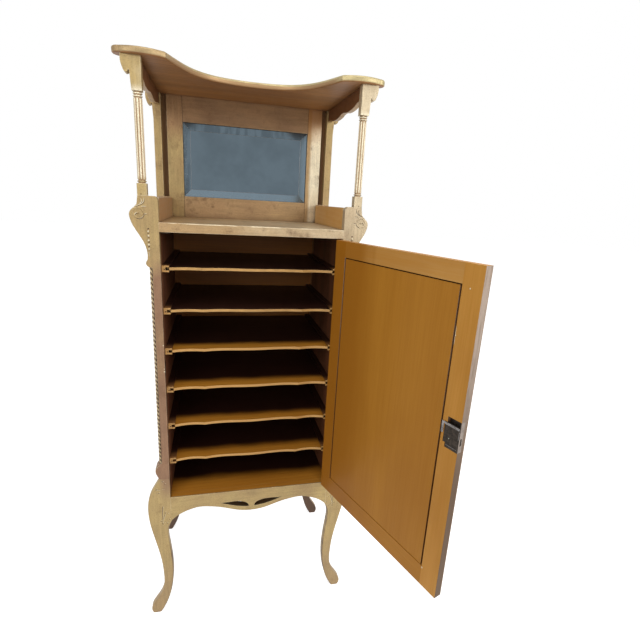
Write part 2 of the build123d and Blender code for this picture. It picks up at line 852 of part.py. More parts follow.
pieces["front_stile_right"] = hinge_stile()
pieces["front_stile_left"] = lock_stile()
pieces["front_apron"] = front_apron()
pieces["back_rail"] = boxed(-half_open, half_open, back_y, rear_y, bottom_z - back_rail_h, bottom_z)
pieces["bottom_board"] = boxed(-half_open, half_open, board_t, rear_y, bottom_z, case_z)
pieces["case_back"] = boxed(-side_out_x, side_out_x, rear_y, rear_y + back_t, bottom_z, deck_top)
pieces["deck"] = deck()
pieces["canopy"] = canopy()
pieces["mirror_rail_bottom"] = mirror_rail(deck_top, mirror_low_z)
pieces["mirror_rail_top"] = mirror_rail(mirror_high_z, canopy_z)
pieces["mirror_glass"] = mirror_glass()
pieces["mirror_back_board"] = boxed(-post_out_x, post_out_x, rear_y, rear_y + back_t, deck_top, canopy_z)
pieces["strike_plate"] = strike_plate()
pieces["door_stop"] = door_stop()
pieces["hinge_leaves_case"] = at_each_hinge(hinge_leaf, half_open, 1, 0)
pieces["hinge_pins"] = at_each_hinge(hinge_pin)
pieces["hinge_screws_case"] = at_each_hinge(screw_row, half_open, 1, 0)

for level in range(shelf_count):
    pieces["shelf_" + str(level + 1)] = shelf(level)
    pieces["runners_" + str(level + 1)] = runner_pair(level)

for name, shape in {
    "door_stile_hinge": door_hinge_stile(),
    "door_stile_lock": door_lock_stile(),
    "door_rail_bottom": door_rail(door_low_z, door_in_z0),
    "door_rail_top": door_rail(door_in_z1, door_high_z),
    "door_panel": door_panel(),
    "key_plate": key_plate(),
    "lock_case": lock_case(),
    "lock_cover": lock_cover(),
    "lock_bolt": bolt_bar(door_free_x + bolt_sunk, 0),
    "hinge_leaves_door": at_each_hinge(hinge_leaf, door_hinge_x, -1, 1),
    "hinge_screws_door": at_each_hinge(screw_row, door_hinge_x, -1, 0),
}.items():
    pieces[name] = shown_open(shape)

for name, shape in pieces.items():
    export_step(Pos(foot_x, -foot_y, 0) * shape, "parts/" + name + ".step")
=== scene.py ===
"""Looks of the sheet music cabinet: finishes, carved and turned detail, light and camera.

Metres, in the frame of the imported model: +Z up, the front looks along -Y, +X to the right.
"""

import json
import math

import bpy
from mathutils import Matrix, Vector


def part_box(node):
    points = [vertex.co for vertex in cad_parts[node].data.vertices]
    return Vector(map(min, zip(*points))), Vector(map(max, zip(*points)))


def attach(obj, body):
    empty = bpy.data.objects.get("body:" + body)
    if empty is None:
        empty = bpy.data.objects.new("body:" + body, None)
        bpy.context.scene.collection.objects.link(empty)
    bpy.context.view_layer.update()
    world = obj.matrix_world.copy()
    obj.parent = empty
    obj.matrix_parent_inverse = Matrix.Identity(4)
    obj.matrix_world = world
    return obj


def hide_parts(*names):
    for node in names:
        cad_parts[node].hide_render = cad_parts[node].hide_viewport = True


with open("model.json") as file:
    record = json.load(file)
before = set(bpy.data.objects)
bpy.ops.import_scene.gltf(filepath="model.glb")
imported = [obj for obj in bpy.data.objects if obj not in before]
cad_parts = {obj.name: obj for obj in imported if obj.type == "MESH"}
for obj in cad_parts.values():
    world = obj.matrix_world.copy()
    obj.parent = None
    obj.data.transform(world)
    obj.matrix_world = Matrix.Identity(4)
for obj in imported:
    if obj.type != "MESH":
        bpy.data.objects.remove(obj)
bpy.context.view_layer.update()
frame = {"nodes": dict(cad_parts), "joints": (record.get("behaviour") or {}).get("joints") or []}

bl_info = {
    "name": "Sheet music cabinet",
    "version": (1, 0, 0),
    "blender": (4, 5, 0),
    "location": "View3D > Sidebar > Cabinet",
    "description": "Finishes and fine detail for a tall cabinet with a mirror back",
    "category": "Add Mesh",
}

MM = 0.001
CABINET = "cabinet"
DOOR = "door"
NODES = frame["nodes"]
SIDES = (("left", -1), ("right", 1))
FORWARD = Vector((0.0, -1.0, 0.0))
FAR = 9.0  # a place beyond every part of the cabinet

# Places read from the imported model
ROPE_LOW, ROPE_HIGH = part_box("rope_moulding_right")
DECK_LOW, DECK_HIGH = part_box("deck")
GLASS_LOW, GLASS_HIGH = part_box("mirror_glass")
FRAME_LOW, FRAME_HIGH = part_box("mirror_stile_left")
CANOPY_LOW, CANOPY_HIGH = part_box("canopy")
FRONT_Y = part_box("leg_front_right")[0].y
STILE_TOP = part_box("front_stile_right")[1].z
PANEL_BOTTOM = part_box("door_panel")[0].z
MIDDLE_X = (DECK_LOW.x + DECK_HIGH.x) / 2
HINGE = next(joint for joint in frame["joints"] if joint["name"] == "door_swing")
SHUT_TURN = math.radians(HINGE["range_deg"][0])
PIN = Vector(HINGE["pos_m"])
DOOR_INWARD = Vector((math.sin(SHUT_TURN), math.cos(SHUT_TURN), 0.0))
DOOR_ALONG = Vector((-math.cos(SHUT_TURN), math.sin(SHUT_TURN), 0.0))

# Places that the boxes don't give: the apron's pierced leaves, the posts' axes, turned shafts and grooves
LEAF_HEIGHTS = (310 * MM, 345 * MM)
POST_OUT = 241.5 * MM
BACK_POST_Y = 322 * MM
POST_SHAFT = (STILE_TOP + 20 * MM, CANOPY_LOW.z - 50 * MM)
GROOVE_DEPTHS = (7.6 * MM, 8.6 * MM)
DOOR_FACE = 20 * MM  # from the pin to the inner face of the door


def tint(name, description, red, green, blue):
    """A colour that can be chosen, its default given as screen values from 0 to 255."""
    def linear(value):
        share = value / 255
        return share / 12.92 if share <= 0.04045 else ((share + 0.055) / 1.055) ** 2.4
    return bpy.props.FloatVectorProperty(
        name=name, description=description, default=(linear(red), linear(green), linear(blue)),
        size=3, min=0.0, max=1.0, subtype="COLOR")


def length(name, description, value, least=0.1):
    """A length that can be chosen, its default given in millimetres."""
    return bpy.props.FloatProperty(
        name=name, description=description, default=value * MM, min=least * MM, unit="LENGTH")


class CabinetColours(bpy.types.PropertyGroup):
    """Colours of the finishes."""

    gold: tint("Gold", "Gold paint on the legs and the apron", 183, 158, 105)
    rose_gold: tint("Rose gold", "Warmer gold paint on the stiles", 146, 111, 84)
    pale_gold: tint("Pale gold", "Gold paint on the posts and the ears", 201, 182, 148)
    old_gold: tint("Old gold", "Thin gold paint on the mirror frame", 180, 148, 104)
    # Painted highlight: a lit copy of the gold, on the right stile of the mirror frame and on the shafts of the
    # posts.
    lit_cream_gold: tint("Cream gold", "Thick gold paint on the right of the mirror", 236, 224, 194)
    bright_gold: tint("Bright gold", "Gold on the edge of the canopy", 188, 172, 126)
    # Painted shade: a shaded copy of the gold, low on the front legs, all over the back legs and at the left end
    # of the canopy's edge.
    shaded_gold: tint("Dull gold", "Darker gold low on the legs", 166, 140, 100)
    # Also painted shade: what corners darken to, and the lighter tone of the back legs' shaded faces.
    undercoat_and_shade: tint("Undercoat", "Brown that shows where gold is worn", 92, 63, 40)
    frame_brown: tint("Frame brown", "Thin brown on the rails and galleries", 163, 127, 88)
    honey: tint("Honey", "Light stripes of the door and shelf wood", 182, 124, 42)
    # Also in part painted light: the sheen on the door's frame, and the lit inner face of the right gallery.
    pale_honey: tint("Pale honey", "Lighter wood of the door's frame", 204, 146, 68)
    amber: tint("Amber", "Dark stripes of the door and shelf wood", 158, 100, 26)
    amber_stripe: tint("Amber stripe", "Dark stripes on the hinge side of the door", 142, 86, 24)
    canopy_wood: tint("Canopy wood", "Underside of the canopy", 172, 120, 68)
    canopy_stripe: tint("Canopy stripe", "Dark grain of the canopy", 108, 70, 38)
    shade_wood: tint("Shade wood", "Shaded boards inside the case", 84, 52, 25)
    shade_stripe: tint("Shade stripe", "Darkest wood, deep inside the case", 40, 18, 11)
    case_wood: tint("Case wood", "Back boards inside the case", 190, 124, 64)
    case_stripe: tint("Case stripe", "Dark grain of the back boards", 136, 80, 46)
    side_wood: tint("Side wood", "Shaded inner faces of the case sides", 124, 76, 48)
    strip_brown: tint("Strip brown", "Back boards beside the mirror frame", 128, 98, 68)
    # Also painted light: the light tone of the right gallery's inner face, and in part of the door's top rail.
    lip: tint("Shelf lip", "Worn front edges of the shelves", 212, 166, 100)
    bare_edge: tint("Bare edge", "Greyed edge of the door", 175, 160, 148)
    worn_edge: tint("Worn edge", "Dark lower part of the door's edge", 80, 64, 52)
    # Painted shade: the dark in the grooves round the door's panel, in a brown of old varnish.
    gap_brown: tint("Gap brown", "Old varnish in the grooves of the door", 104, 62, 28)
    # Painted shade: the shaded sides of the pierced leaves and the shadow round the mirror glass.
    cut_shade: tint("Cut shade", "Dirt in the pierced leaves and round the mirror", 50, 47, 36)
    # Also painted shade: on the inner faces of the front legs, the front of the back legs and in the carved lines.
    old_patch_and_shade: tint("Old patch", "Hollows of the carving and the turning", 74, 50, 32)
    # Painted highlight on edges, beside the carving, on the beads and pricks and along the deck's front edge; also
    # the colour of bare chips.
    glint: tint("Glint", "Rubbed highlights beside the carving", 244, 230, 196)
    glass: tint("Mirror", "Tint of the old mirror glass", 98, 112, 121)
    bronze: tint("Bronze", "Lock and plates", 62, 53, 45)
    # Also the painted highlight lines along the mirror's bevel and down the lock's edge.
    steel: tint("Steel", "Cover plate, hinges and screws", 150, 146, 144)
    pewter: tint("Pewter", "Worn dot on the lock", 176, 182, 158)


class CabinetSizes(bpy.types.PropertyGroup):
    """Sizes of the fine detail, and the strength of the light."""

    rope_pitch: length("Rope pitch", "Distance between two turns of the rope moulding", 11.3, least=2.0)
    carved_line: length("Carved line", "Half the width of a carved line", 0.8)
    eased_edge: length("Eased edge", "Rounding that the boards show on their edges", 1.6)
    lamp_power: bpy.props.FloatProperty(
        name="Lamp power", description="Power of a lamp, before its own share",
        default=30.0, min=0.0, unit="POWER")


def colour(name, strength=1.0):
    """A chosen colour with its alpha, made darker or lighter by strength."""
    channels = getattr(bpy.context.scene.cabinet_colours, name)
    return (*(min(1.0, channel * strength) for channel in channels), 1.0)


def size(name):
    """A chosen size."""
    return getattr(bpy.context.scene.cabinet_sizes, name)


# Shader helpers


def fill(tree, inputs, values):
    """Link the given sockets to a node's inputs, and set the given numbers and colours there."""
    for key, value in values.items():
        if isinstance(value, bpy.types.NodeSocket):
            tree.links.new(value, inputs[key])
        else:
            inputs[key].default_value = value


def put(tree, kind, values=None, **settings):
    """Add a node, set it up, and fill its inputs."""
    node = tree.nodes.new(kind)
    for key, value in settings.items():
        setattr(node, key, value)
    fill(tree, node.inputs, values or {})
    return node


def maths(tree, operation, first, second=0.0, clamp=False):
    return put(tree, "ShaderNodeMath", {0: first, 1: second}, operation=operation, use_clamp=clamp).outputs[0]


def plus(tree, first, second, clamp=False):
    return maths(tree, "ADD", first, second, clamp)


def minus(tree, first, second):
    return maths(tree, "SUBTRACT", first, second)


def times(tree, first, second, clamp=False):
    return maths(tree, "MULTIPLY", first, second, clamp)


def faded(tree, mask, share):
    """A mask brought down to a share of its strength."""
    return times(tree, mask, share)


def most(tree, first, second, clamp=False):
    return maths(tree, "MAXIMUM", first, second, clamp)


def inverse(tree, value):
    return minus(tree, 1.0, value)


def weighted(tree, start, *parts):
    """A start with each value of the parts added by its own weight."""
    for value, weight in parts:
        start = plus(tree, start, times(tree, value, weight))
    return start


def centred(tree, value, spread):
    """A pattern between 0 and 1 moved to lie round 0 and given its spread."""
    return times(tree, minus(tree, value, 0.5), spread)


def stepped(tree, value, low, high):
    """Zero below low and one above high, with a smooth change between."""
    return put(tree, "ShaderNodeMapRange", {"Value": value, "From Min": low, "From Max": high},
               interpolation_type="SMOOTHSTEP").outputs["Result"]


def blended(tree, factor, first, second, mode="MIX"):
    """The second colour laid over the first by a factor."""
    return put(tree, "ShaderNodeMix", {0: factor, 6: first, 7: second}, data_type="RGBA",
               blend_type=mode).outputs[2]


def split(tree, vector):
    """The X, Y and Z of a vector."""
    return put(tree, "ShaderNodeSeparateXYZ", {0: vector}).outputs


def dotted(tree, first, second):
    """The dot product of two vectors."""
    return put(tree, "ShaderNodeVectorMath", {0: first, 1: second}, operation="DOT_PRODUCT").outputs["Value"]


def object_places(tree):
    return put(tree, "ShaderNodeTexCoord").outputs["Object"]


def facing(tree):
    """The direction that the surface looks along."""
    return put(tree, "ShaderNodeTexCoord").outputs["Normal"]


def stretched(tree, vector, across, along):
    """Coordinates scaled so that a pattern runs along Z."""
    return put(tree, "ShaderNodeMapping", {"Vector": vector, "Scale": (across, across, along)}).outputs[0]


def laid_along(tree, vector, along):
    """Coordinates turned so that the grain runs along X, Y, or stays along Z."""
    quarter = math.radians(90)
    turns = {"X": (0.0, quarter, 0.0), "Y": (quarter, 0.0, 0.0), "Z": (0.0, 0.0, 0.0)}
    return put(tree, "ShaderNodeMapping", {"Vector": vector, "Rotation": turns[along]}).outputs[0]


def noise(tree, vector, scale, detail=3.0, roughness=0.55):
    return put(tree, "ShaderNodeTexNoise", {"Vector": vector, "Scale": scale, "Detail": detail,
                                            "Roughness": roughness}).outputs["Fac"]


def streaks(tree, vector, across, along, detail=3.0, roughness=0.55):
    """Noise drawn out along Z, its scale given across and along."""
    return noise(tree, stretched(tree, vector, across, along), 1.0, detail, roughness)


# Shared effects

VECTOR, COLOUR, VALUE = "NodeSocketVector", "NodeSocketColor", "NodeSocketFloat"
BLACK, WHITE = (0.0, 0.0, 0.0, 1.0), (1.0, 1.0, 1.0, 1.0)
FINISH_OUTPUTS = {"Colour": COLOUR, "Roughness": VALUE, "Height": VALUE}


def shader_group(name, outputs, **inputs):
    """A node group; an input without a default is a vector, and one with four numbers is a colour."""
    tree = bpy.data.node_groups.new(name, "ShaderNodeTree")
    for label, default in inputs.items():
        kind = VECTOR if default is None else COLOUR if isinstance(default, tuple) else VALUE
        socket = tree.interface.new_socket(label, in_out="INPUT", socket_type=kind)
        if default is not None:
            socket.default_value = default
    for label, kind in outputs.items():
        tree.interface.new_socket(label, in_out="OUTPUT", socket_type=kind)
    return tree, tree.nodes.new("NodeGroupInput").outputs, tree.nodes.new("NodeGroupOutput").inputs


def eased_edges():
    """Rounded normals at the edges of a board, and a mask of those edges."""
    tree, given, result = shader_group("Eased edges", {"Normal": VECTOR, "Mask": VALUE}, Radius=1.5 * MM)
    rounded = put(tree, "ShaderNodeBevel", {"Radius": given["Radius"]}, samples=6).outputs[0]
    flat = put(tree, "ShaderNodeNewGeometry").outputs["Normal"]
    bend = inverse(tree, dotted(tree, rounded, flat))
    fill(tree, result, {"Normal": rounded, "Mask": stepped(tree, bend, low=0.004, high=0.12)})
    return tree


def gold_paint():
    """Hand brushed gold paint, uneven in colour and thin in patches, with painted highlights on its edges."""
    tree, given, result = shader_group(
        "Gold paint", FINISH_OUTPUTS, Vector=None, Gold=WHITE, Warm=WHITE, Under=BLACK, Glint=WHITE,
        Warmth=0.3, Thin=0.2, Edge=0.0, Rubbed=0.45)
    vector, under, thinness, edge = given["Vector"], given["Under"], given["Thin"], given["Edge"]
    patches = noise(tree, vector, scale=9.0, detail=5.0, roughness=0.6)
    clouds = noise(tree, vector, scale=26.0, detail=4.0, roughness=0.6)
    smudges = noise(tree, vector, scale=13.0, detail=6.0, roughness=0.7)
    specks = noise(tree, vector, scale=620.0, detail=2.0, roughness=0.6)
    strokes = streaks(tree, vector, across=190.0, along=14.0, detail=2.0, roughness=0.5)

    warm = plus(tree, given["Warmth"], centred(tree, patches, spread=1.6), clamp=True)
    body = blended(tree, warm, given["Gold"], given["Warm"])
    shade = weighted(tree, 0.50, (strokes, 0.52), (clouds, 0.46))
    grey = put(tree, "ShaderNodeCombineColor", {0: shade, 1: shade, 2: shade}).outputs[0]
    body = blended(tree, 1.0, body, grey, "MULTIPLY")

    patchy = stepped(tree, weighted(tree, clouds, (strokes, 0.35)), low=0.74, high=0.98)
    rubbed = faded(tree, times(tree, stepped(tree, clouds, low=0.56, high=0.70), edge), share=0.5)
    thin = most(tree, times(tree, patchy, thinness), rubbed, clamp=True)
    smudged = faded(tree, times(tree, stepped(tree, smudges, low=0.50, high=0.72), thinness), share=0.8)
    pitted = faded(tree, stepped(tree, specks, low=0.54, high=0.66), share=0.4)
    for mask in (thin, smudged, pitted):
        body = blended(tree, mask, body, under)
    # Painted highlight: the glint colour laid over the eased edges in patches.
    edge_highlight = times(tree, stepped(tree, clouds, low=0.40, high=0.56), edge)
    fill(tree, result, {"Colour": blended(tree, times(tree, edge_highlight, given["Rubbed"]), body, given["Glint"]),
                        "Roughness": weighted(tree, 0.36, (clouds, 0.22), (thin, 0.2)),
                        "Height": weighted(tree, strokes, (specks, 0.5))})
    return tree


def board_grain():
    """Straight and flamed grain along Z, with fine pores."""
    tree, given, result = shader_group(
        "Board grain", FINISH_OUTPUTS, Vector=None, Light=WHITE, Dark=BLACK, Across=46.0, Flame=3.0,
        Contrast=0.8, Waves=0.1)
    vector = given["Vector"]
    waves = put(tree, "ShaderNodeTexWave", {"Vector": stretched(tree, vector, 1.0, 0.05),
                                            "Scale": given["Across"], "Distortion": given["Flame"],
                                            "Detail": 3.0, "Detail Scale": 1.4},
                wave_type="BANDS", bands_direction="DIAGONAL").outputs["Fac"]
    fibres = streaks(tree, vector, across=420.0, along=9.0, roughness=0.6)
    broad = streaks(tree, vector, across=22.0, along=1.6, detail=4.0, roughness=0.6)
    pores = streaks(tree, vector, across=900.0, along=40.0, detail=1.0)
    flames = plus(tree, centred(tree, waves, given["Waves"]), 0.05)
    mixed = weighted(tree, flames, (fibres, 0.55), (broad, 0.70))
    factor = times(tree, stepped(tree, mixed, low=0.42, high=0.98), given["Contrast"], clamp=True)
    relief = minus(tree, faded(tree, fibres, share=0.6), stepped(tree, pores, low=0.62, high=0.74))
    fill(tree, result, {"Colour": blended(tree, factor, given["Light"], given["Dark"]),
                        "Roughness": weighted(tree, 0.34, (fibres, 0.24)),
                        "Height": relief})
    return tree


def soiling_and_corner_shade():
    """Old soiling and painted shade: a mask that is strongest in corners, where shade falls."""
    tree, given, result = shader_group("Grime", {"Mask": VALUE}, Vector=None, Reach=0.02, Amount=0.6)
    # Ambient occlusion finds the corners: painted shade there, broken by noise like uneven soiling.
    corner = put(tree, "ShaderNodeAmbientOcclusion", {"Distance": given["Reach"]}, samples=6).outputs["AO"]
    uneven = weighted(tree, 0.55, (noise(tree, given["Vector"], scale=60.0, detail=4.0), 0.9))
    deep = times(tree, stepped(tree, inverse(tree, corner), low=0.25, high=0.85), uneven)
    fill(tree, result, {"Mask": times(tree, deep, given["Amount"], clamp=True)})
    return tree


def depth_shade():
    """Painted shade inside the case, where the boards above cast their shadow: a mask that grows from the front to
    the back.
    """
    tree, given, result = shader_group("Depth shade", {"Mask": VALUE}, Vector=None, Front=0.045, Back=0.075)
    uneven = centred(tree, noise(tree, given["Vector"], scale=9.0), spread=0.03)
    depth = plus(tree, split(tree, given["Vector"])["Y"], uneven)
    fill(tree, result, {"Mask": stepped(tree, depth, given["Front"], given["Back"])})
    return tree


GROUPS = {}


def use_group(tree, maker, **values):
    """A shared effect, made once and placed in a material with its own values."""
    if maker not in GROUPS:
        GROUPS[maker] = maker()
    return put(tree, "ShaderNodeGroup", values, node_tree=GROUPS[maker]).outputs


# Masks: where a part of a finish lies. Each pair says where a mask starts and where it is full.

LOOKS_DOWN, LOOKS_FRONT_OR_BACK, LOOKS_UP = (0.4, 0.7), (0.3, 0.7), (0.5, 0.8)
LOOKS_ALONG_DOOR = (0.4, 0.8)
LOOKS_INWARD = (0.05, 0.12)
DARK_HEAD = (GLASS_HIGH.z - 20 * MM, GLASS_HIGH.z + 60 * MM)
OUTER_SKIN = (2.2 * MM, 3.4 * MM)
HINGE_AMBER_END = (200 * MM, 340 * MM)
LEG_TOP_OUT = (222 * MM, 242 * MM)
LEG_TOP_HEIGHTS = (350 * MM, 420 * MM)
ROPE_HOLLOWS = (0.78, 0.93)


def facing_down(tree):
    return stepped(tree, times(tree, split(tree, facing(tree))["Z"], -1.0), *LOOKS_DOWN)


def facing_front(tree):
    return stepped(tree, times(tree, split(tree, facing(tree))["Y"], -1.0), *LOOKS_FRONT_OR_BACK)


def facing_back(tree):
    return stepped(tree, split(tree, facing(tree))["Y"], *LOOKS_FRONT_OR_BACK)


def facing_middle(tree):
    """One on the faces that look at the middle of the cabinet."""
    inward = minus(tree, MIDDLE_X, split(tree, object_places(tree))["X"])
    return stepped(tree, times(tree, split(tree, facing(tree))["X"], inward), *LOOKS_INWARD)


def facing_along(tree, direction):
    """One on the faces of the door that look along a direction."""
    return stepped(tree, dotted(tree, facing(tree), tuple(direction)), *LOOKS_ALONG_DOOR)


def from_pin(tree, direction):
    """How far a place on the door lies from the hinge pin along a direction."""
    away = put(tree, "ShaderNodeVectorMath", {0: object_places(tree), 1: tuple(PIN)}, operation="SUBTRACT")
    return dotted(tree, away.outputs[0], tuple(direction))


def between(tree, low, high, soft, axis="Z"):
    """One between two heights, or two places along another axis, with soft ends."""
    place = split(tree, object_places(tree))[axis]
    above = stepped(tree, place, low - soft, low + soft)
    return times(tree, above, inverse(tree, stepped(tree, place, high - soft, high + soft)))


def near_axis(tree, out, back, low, high):
    """One close to two upright axes, each the same distance out from the middle of the cabinet."""
    place = split(tree, object_places(tree))
    across = minus(tree, maths(tree, "ABSOLUTE", minus(tree, place["X"], MIDDLE_X)), out)
    deep = minus(tree, place["Y"], back)
    square = plus(tree, times(tree, across, across), times(tree, deep, deep))
    return inverse(tree, stepped(tree, maths(tree, "SQRT", square), low, high))


def canopy_shadow_on_frame(tree):
    """One near the top of the mirror frame, under the canopy: painted shade."""
    places = object_places(tree)
    height = weighted(tree, split(tree, places)["Z"], (noise(tree, places, scale=24.0), 40 * MM))
    return stepped(tree, height, *DARK_HEAD)


def canopy_edge(tree):
    """One on the lower part of the canopy's edge where it sweeps in, which is painted darker."""
    low = between(tree, CANOPY_LOW.z + 0.8 * MM, CANOPY_HIGH.z - 5 * MM, soft=0.8 * MM)
    return times(tree, low, between(tree, CANOPY_LOW.y + 30 * MM, FAR, soft=20 * MM, axis="Y"))


def deck_edge_highlight(tree):
    """Bright streaks along the top edge in front of the deck: partly worn gold, partly painted highlight."""
    worn = streaks(tree, laid_along(tree, object_places(tree), "X"), across=260.0, along=30.0, detail=4.0)
    edge = times(tree, between(tree, DECK_HIGH.z - 1.5 * MM, FAR, soft=0.7 * MM),
                 between(tree, -FAR, DECK_LOW.y + 4 * MM, soft=2 * MM, axis="Y"))
    return times(tree, stepped(tree, worn, low=0.44, high=0.56), edge)


def door_skin(tree):
    """One close to the outer face of the door, softly broken along it."""
    uneven = times(tree, noise(tree, object_places(tree), scale=40.0, detail=4.0), MM)
    depth = minus(tree, from_pin(tree, DOOR_INWARD), uneven)
    return inverse(tree, stepped(tree, depth, *OUTER_SKIN))


def hinge_half_amber(tree):
    """Darker amber on the hinge half of the door, broken along the grain."""
    uneven = streaks(tree, object_places(tree), across=9.0, along=1.2, detail=4.0)
    out = weighted(tree, from_pin(tree, DOOR_ALONG), (uneven, 220 * MM))
    return faded(tree, inverse(tree, stepped(tree, out, *HINGE_AMBER_END)), share=0.9)


def apron_top(tree):
    """One on the top face of the apron, behind its front edge."""
    top = stepped(tree, split(tree, facing(tree))["Z"], *LOOKS_UP)
    return times(tree, top, between(tree, FRONT_Y + 3 * MM, FAR, soft=MM, axis="Y"))


def leaf_sides(tree):
    """One on the sides of the leaves cut through the apron, which are painted dark as shade."""
    deep = between(tree, FRONT_Y + 1.2 * MM, FAR, soft=0.6 * MM, axis="Y")
    return times(tree, deep, between(tree, *LEAF_HEIGHTS, soft=2 * MM))


def leg_inner_shade(tree):
    """Patches of painted shade on the faces of the legs that look at the middle of the cabinet."""
    patches = stepped(tree, noise(tree, object_places(tree), scale=30.0, detail=4.0), low=0.3, high=0.7)
    return times(tree, facing_middle(tree), patches)


def back_leg_shade(tree):
    """One on the front and inner faces of the back legs, painted dark as shade."""
    return most(tree, facing_front(tree), facing_middle(tree))


def leg_tops(tree):
    """High near the inner top of the front legs, where the warm paint of the stiles runs down."""
    place = split(tree, object_places(tree))
    across = maths(tree, "ABSOLUTE", minus(tree, place["X"], MIDDLE_X))
    inner = faded(tree, inverse(tree, stepped(tree, across, *LEG_TOP_OUT)), share=0.8)
    return times(tree, inner, stepped(tree, place["Z"], *LEG_TOP_HEIGHTS))


def post_grooves(tree, back=0.0):
    """One in the grooves between the reeds and the rings of the front posts."""
    shaft = between(tree, *POST_SHAFT, soft=4 * MM)
    return times(tree, shaft, near_axis(tree, POST_OUT, back, *GROOVE_DEPTHS))


def back_post_grooves(tree):
    """The same grooves on the back posts."""
    return post_grooves(tree, BACK_POST_Y)


def rope_grooves(tree):
    """One in the turns of the rope mouldings."""
    out = (ROPE_LOW.x + ROPE_HIGH.x) / 2 - MIDDLE_X
    radius = (ROPE_HIGH.x - ROPE_LOW.x) / 2
    low, high = ROPE_HOLLOWS
    return near_axis(tree, out, ROPE_LOW.y + radius, radius * low, radius * high)


# Finishes

COAT_ROUGHNESS = 0.15
PAINT_METALLIC = 0.35


def new_material(name, metallic=0.0, coat=0.0, specular=0.5):
    """A material with its Principled shader, ready for a finish."""
    material = bpy.data.materials.new(name)
    material.use_nodes = True
    tree = material.node_tree
    shader = tree.nodes["Principled BSDF"]
    fill(tree, shader.inputs, {"Metallic": metallic, "Coat Weight": coat, "Coat Roughness": COAT_ROUGHNESS,
                               "Specular IOR Level": specular})
    return material, tree, shader.inputs


def bumped(tree, height, strength, relief, normal=None):
    """The normal that a height gives, with the relief in millimetres."""
    values = {"Height": height, "Strength": strength, "Distance": relief * MM}
    if normal is not None:
        values["Normal"] = normal
    return put(tree, "ShaderNodeBump", values).outputs[0]


def gold_material(name, gold, warm, warmth, thin, along="Z", metallic=PAINT_METALLIC, straight=None, bare=None,
                  reach=0.012, hollows=None, hollow_tone="old_patch_and_shade", rubbed=0.45, soiling_and_shade=0.7):
    """Gold paint; it turns warmer within straight, bare is where wood shows, hollows is where hollow_tone is laid
    (painted shade on some boards, a painted highlight on the deck), and rubbed is the strength of the painted
    highlight on the edges.
    """
    material, tree, shader = new_material(name, metallic)
    places = object_places(tree)
    edges = use_group(tree, eased_edges, Radius=size("eased_edge"))
    if straight:
        warmth = plus(tree, warmth, between(tree, *straight))
    paint = use_group(tree, gold_paint, Vector=laid_along(tree, places, along), Gold=colour(gold),
                      Warm=colour(warm), Under=colour("undercoat_and_shade"), Glint=colour("glint"), Warmth=warmth,
                      Thin=thin, Edge=edges["Mask"], Rubbed=rubbed)
    tone = paint["Colour"]
    if bare:
        where, light, dark, grain = bare
        wood = use_group(tree, board_grain, Vector=laid_along(tree, places, grain), Light=colour(light),
                         Dark=colour(dark))
        mask = where(tree)
        tone = blended(tree, mask, tone, wood["Colour"])
        fill(tree, shader, {"Metallic": times(tree, inverse(tree, mask), metallic)})
    # Painted shade in corners, with soiling, in the brown under the gold.
    soiling_and_shade_mask = use_group(tree, soiling_and_corner_shade, Vector=places, Reach=reach, Amount=soiling_and_shade)
    tone = blended(tree, soiling_and_shade_mask["Mask"], tone, colour("undercoat_and_shade"))
    if hollows:
        tone = blended(tree, faded(tree, hollows(tree), share=0.9), tone, colour(hollow_tone))
    normal = bumped(tree, paint["Height"], strength=0.25, relief=0.6, normal=edges["Normal"])
    fill(tree, shader, {"Base Color": tone, "Roughness": paint["Roughness"], "Normal": normal})
    return material


def wood_material(name, light, dark, gloss, lit_depth=None):
    """Varnished wood with its grain along X; it darkens between the two depths of lit_depth."""
    material, tree, shader = new_material(name, coat=gloss, specular=0.3)
    places = object_places(tree)
    edges = use_group(tree, eased_edges, Radius=MM)
    wood = use_group(tree, board_grain, Vector=laid_along(tree, places, "X"), Light=colour(light),
                     Dark=colour(dark))
    # Painted shade in corners, with soiling, in the darkest wood.
    soiling_and_shade_mask = use_group(tree, soiling_and_corner_shade, Vector=places, Reach=0.03, Amount=0.5)
    tone = blended(tree, soiling_and_shade_mask["Mask"], wood["Colour"], colour("shade_stripe"))
    if lit_depth:
        shade = use_group(tree, depth_shade, Vector=places, Front=lit_depth[0], Back=lit_depth[1])
        tone = blended(tree, shade["Mask"], tone, colour("shade_stripe"))
    tone = blended(tree, faded(tree, edges["Mask"], share=0.3), tone, colour("lip"))
    normal = bumped(tree, wood["Height"], strength=0.2, relief=0.5, normal=edges["Normal"])
    fill(tree, shader, {"Base Color": tone, "Roughness": wood["Roughness"], "Normal": normal})
    return material


def shelf_material(name, light, dark, front, back):
    """Thin boards: a bright worn lip in front, and a golden top that darkens between two depths as painted shade.
    """
    material, tree, shader = new_material(name, coat=0.1, specular=0.3)
    places = object_places(tree)
    edges = use_group(tree, eased_edges, Radius=1.2 * MM)
    wood = use_group(tree, board_grain, Vector=laid_along(tree, places, "X"), Light=colour(light),
                     Dark=colour(dark), Across=40.0, Contrast=0.9)
    shade = use_group(tree, depth_shade, Vector=places, Front=front, Back=back)
    tone = blended(tree, shade["Mask"], wood["Colour"], colour("shade_stripe"))
    patches = noise(tree, places, scale=55.0, detail=4.0)
    uneven = plus(tree, 0.5, faded(tree, patches, share=0.7), clamp=True)
    tone = blended(tree, times(tree, facing_front(tree), uneven), tone, colour("lip"))
    normal = bumped(tree, wood["Height"], strength=0.2, relief=0.5, normal=edges["Normal"])
    fill(tree, shader, {"Base Color": tone, "Roughness": wood["Roughness"], "Normal": normal})
    return material


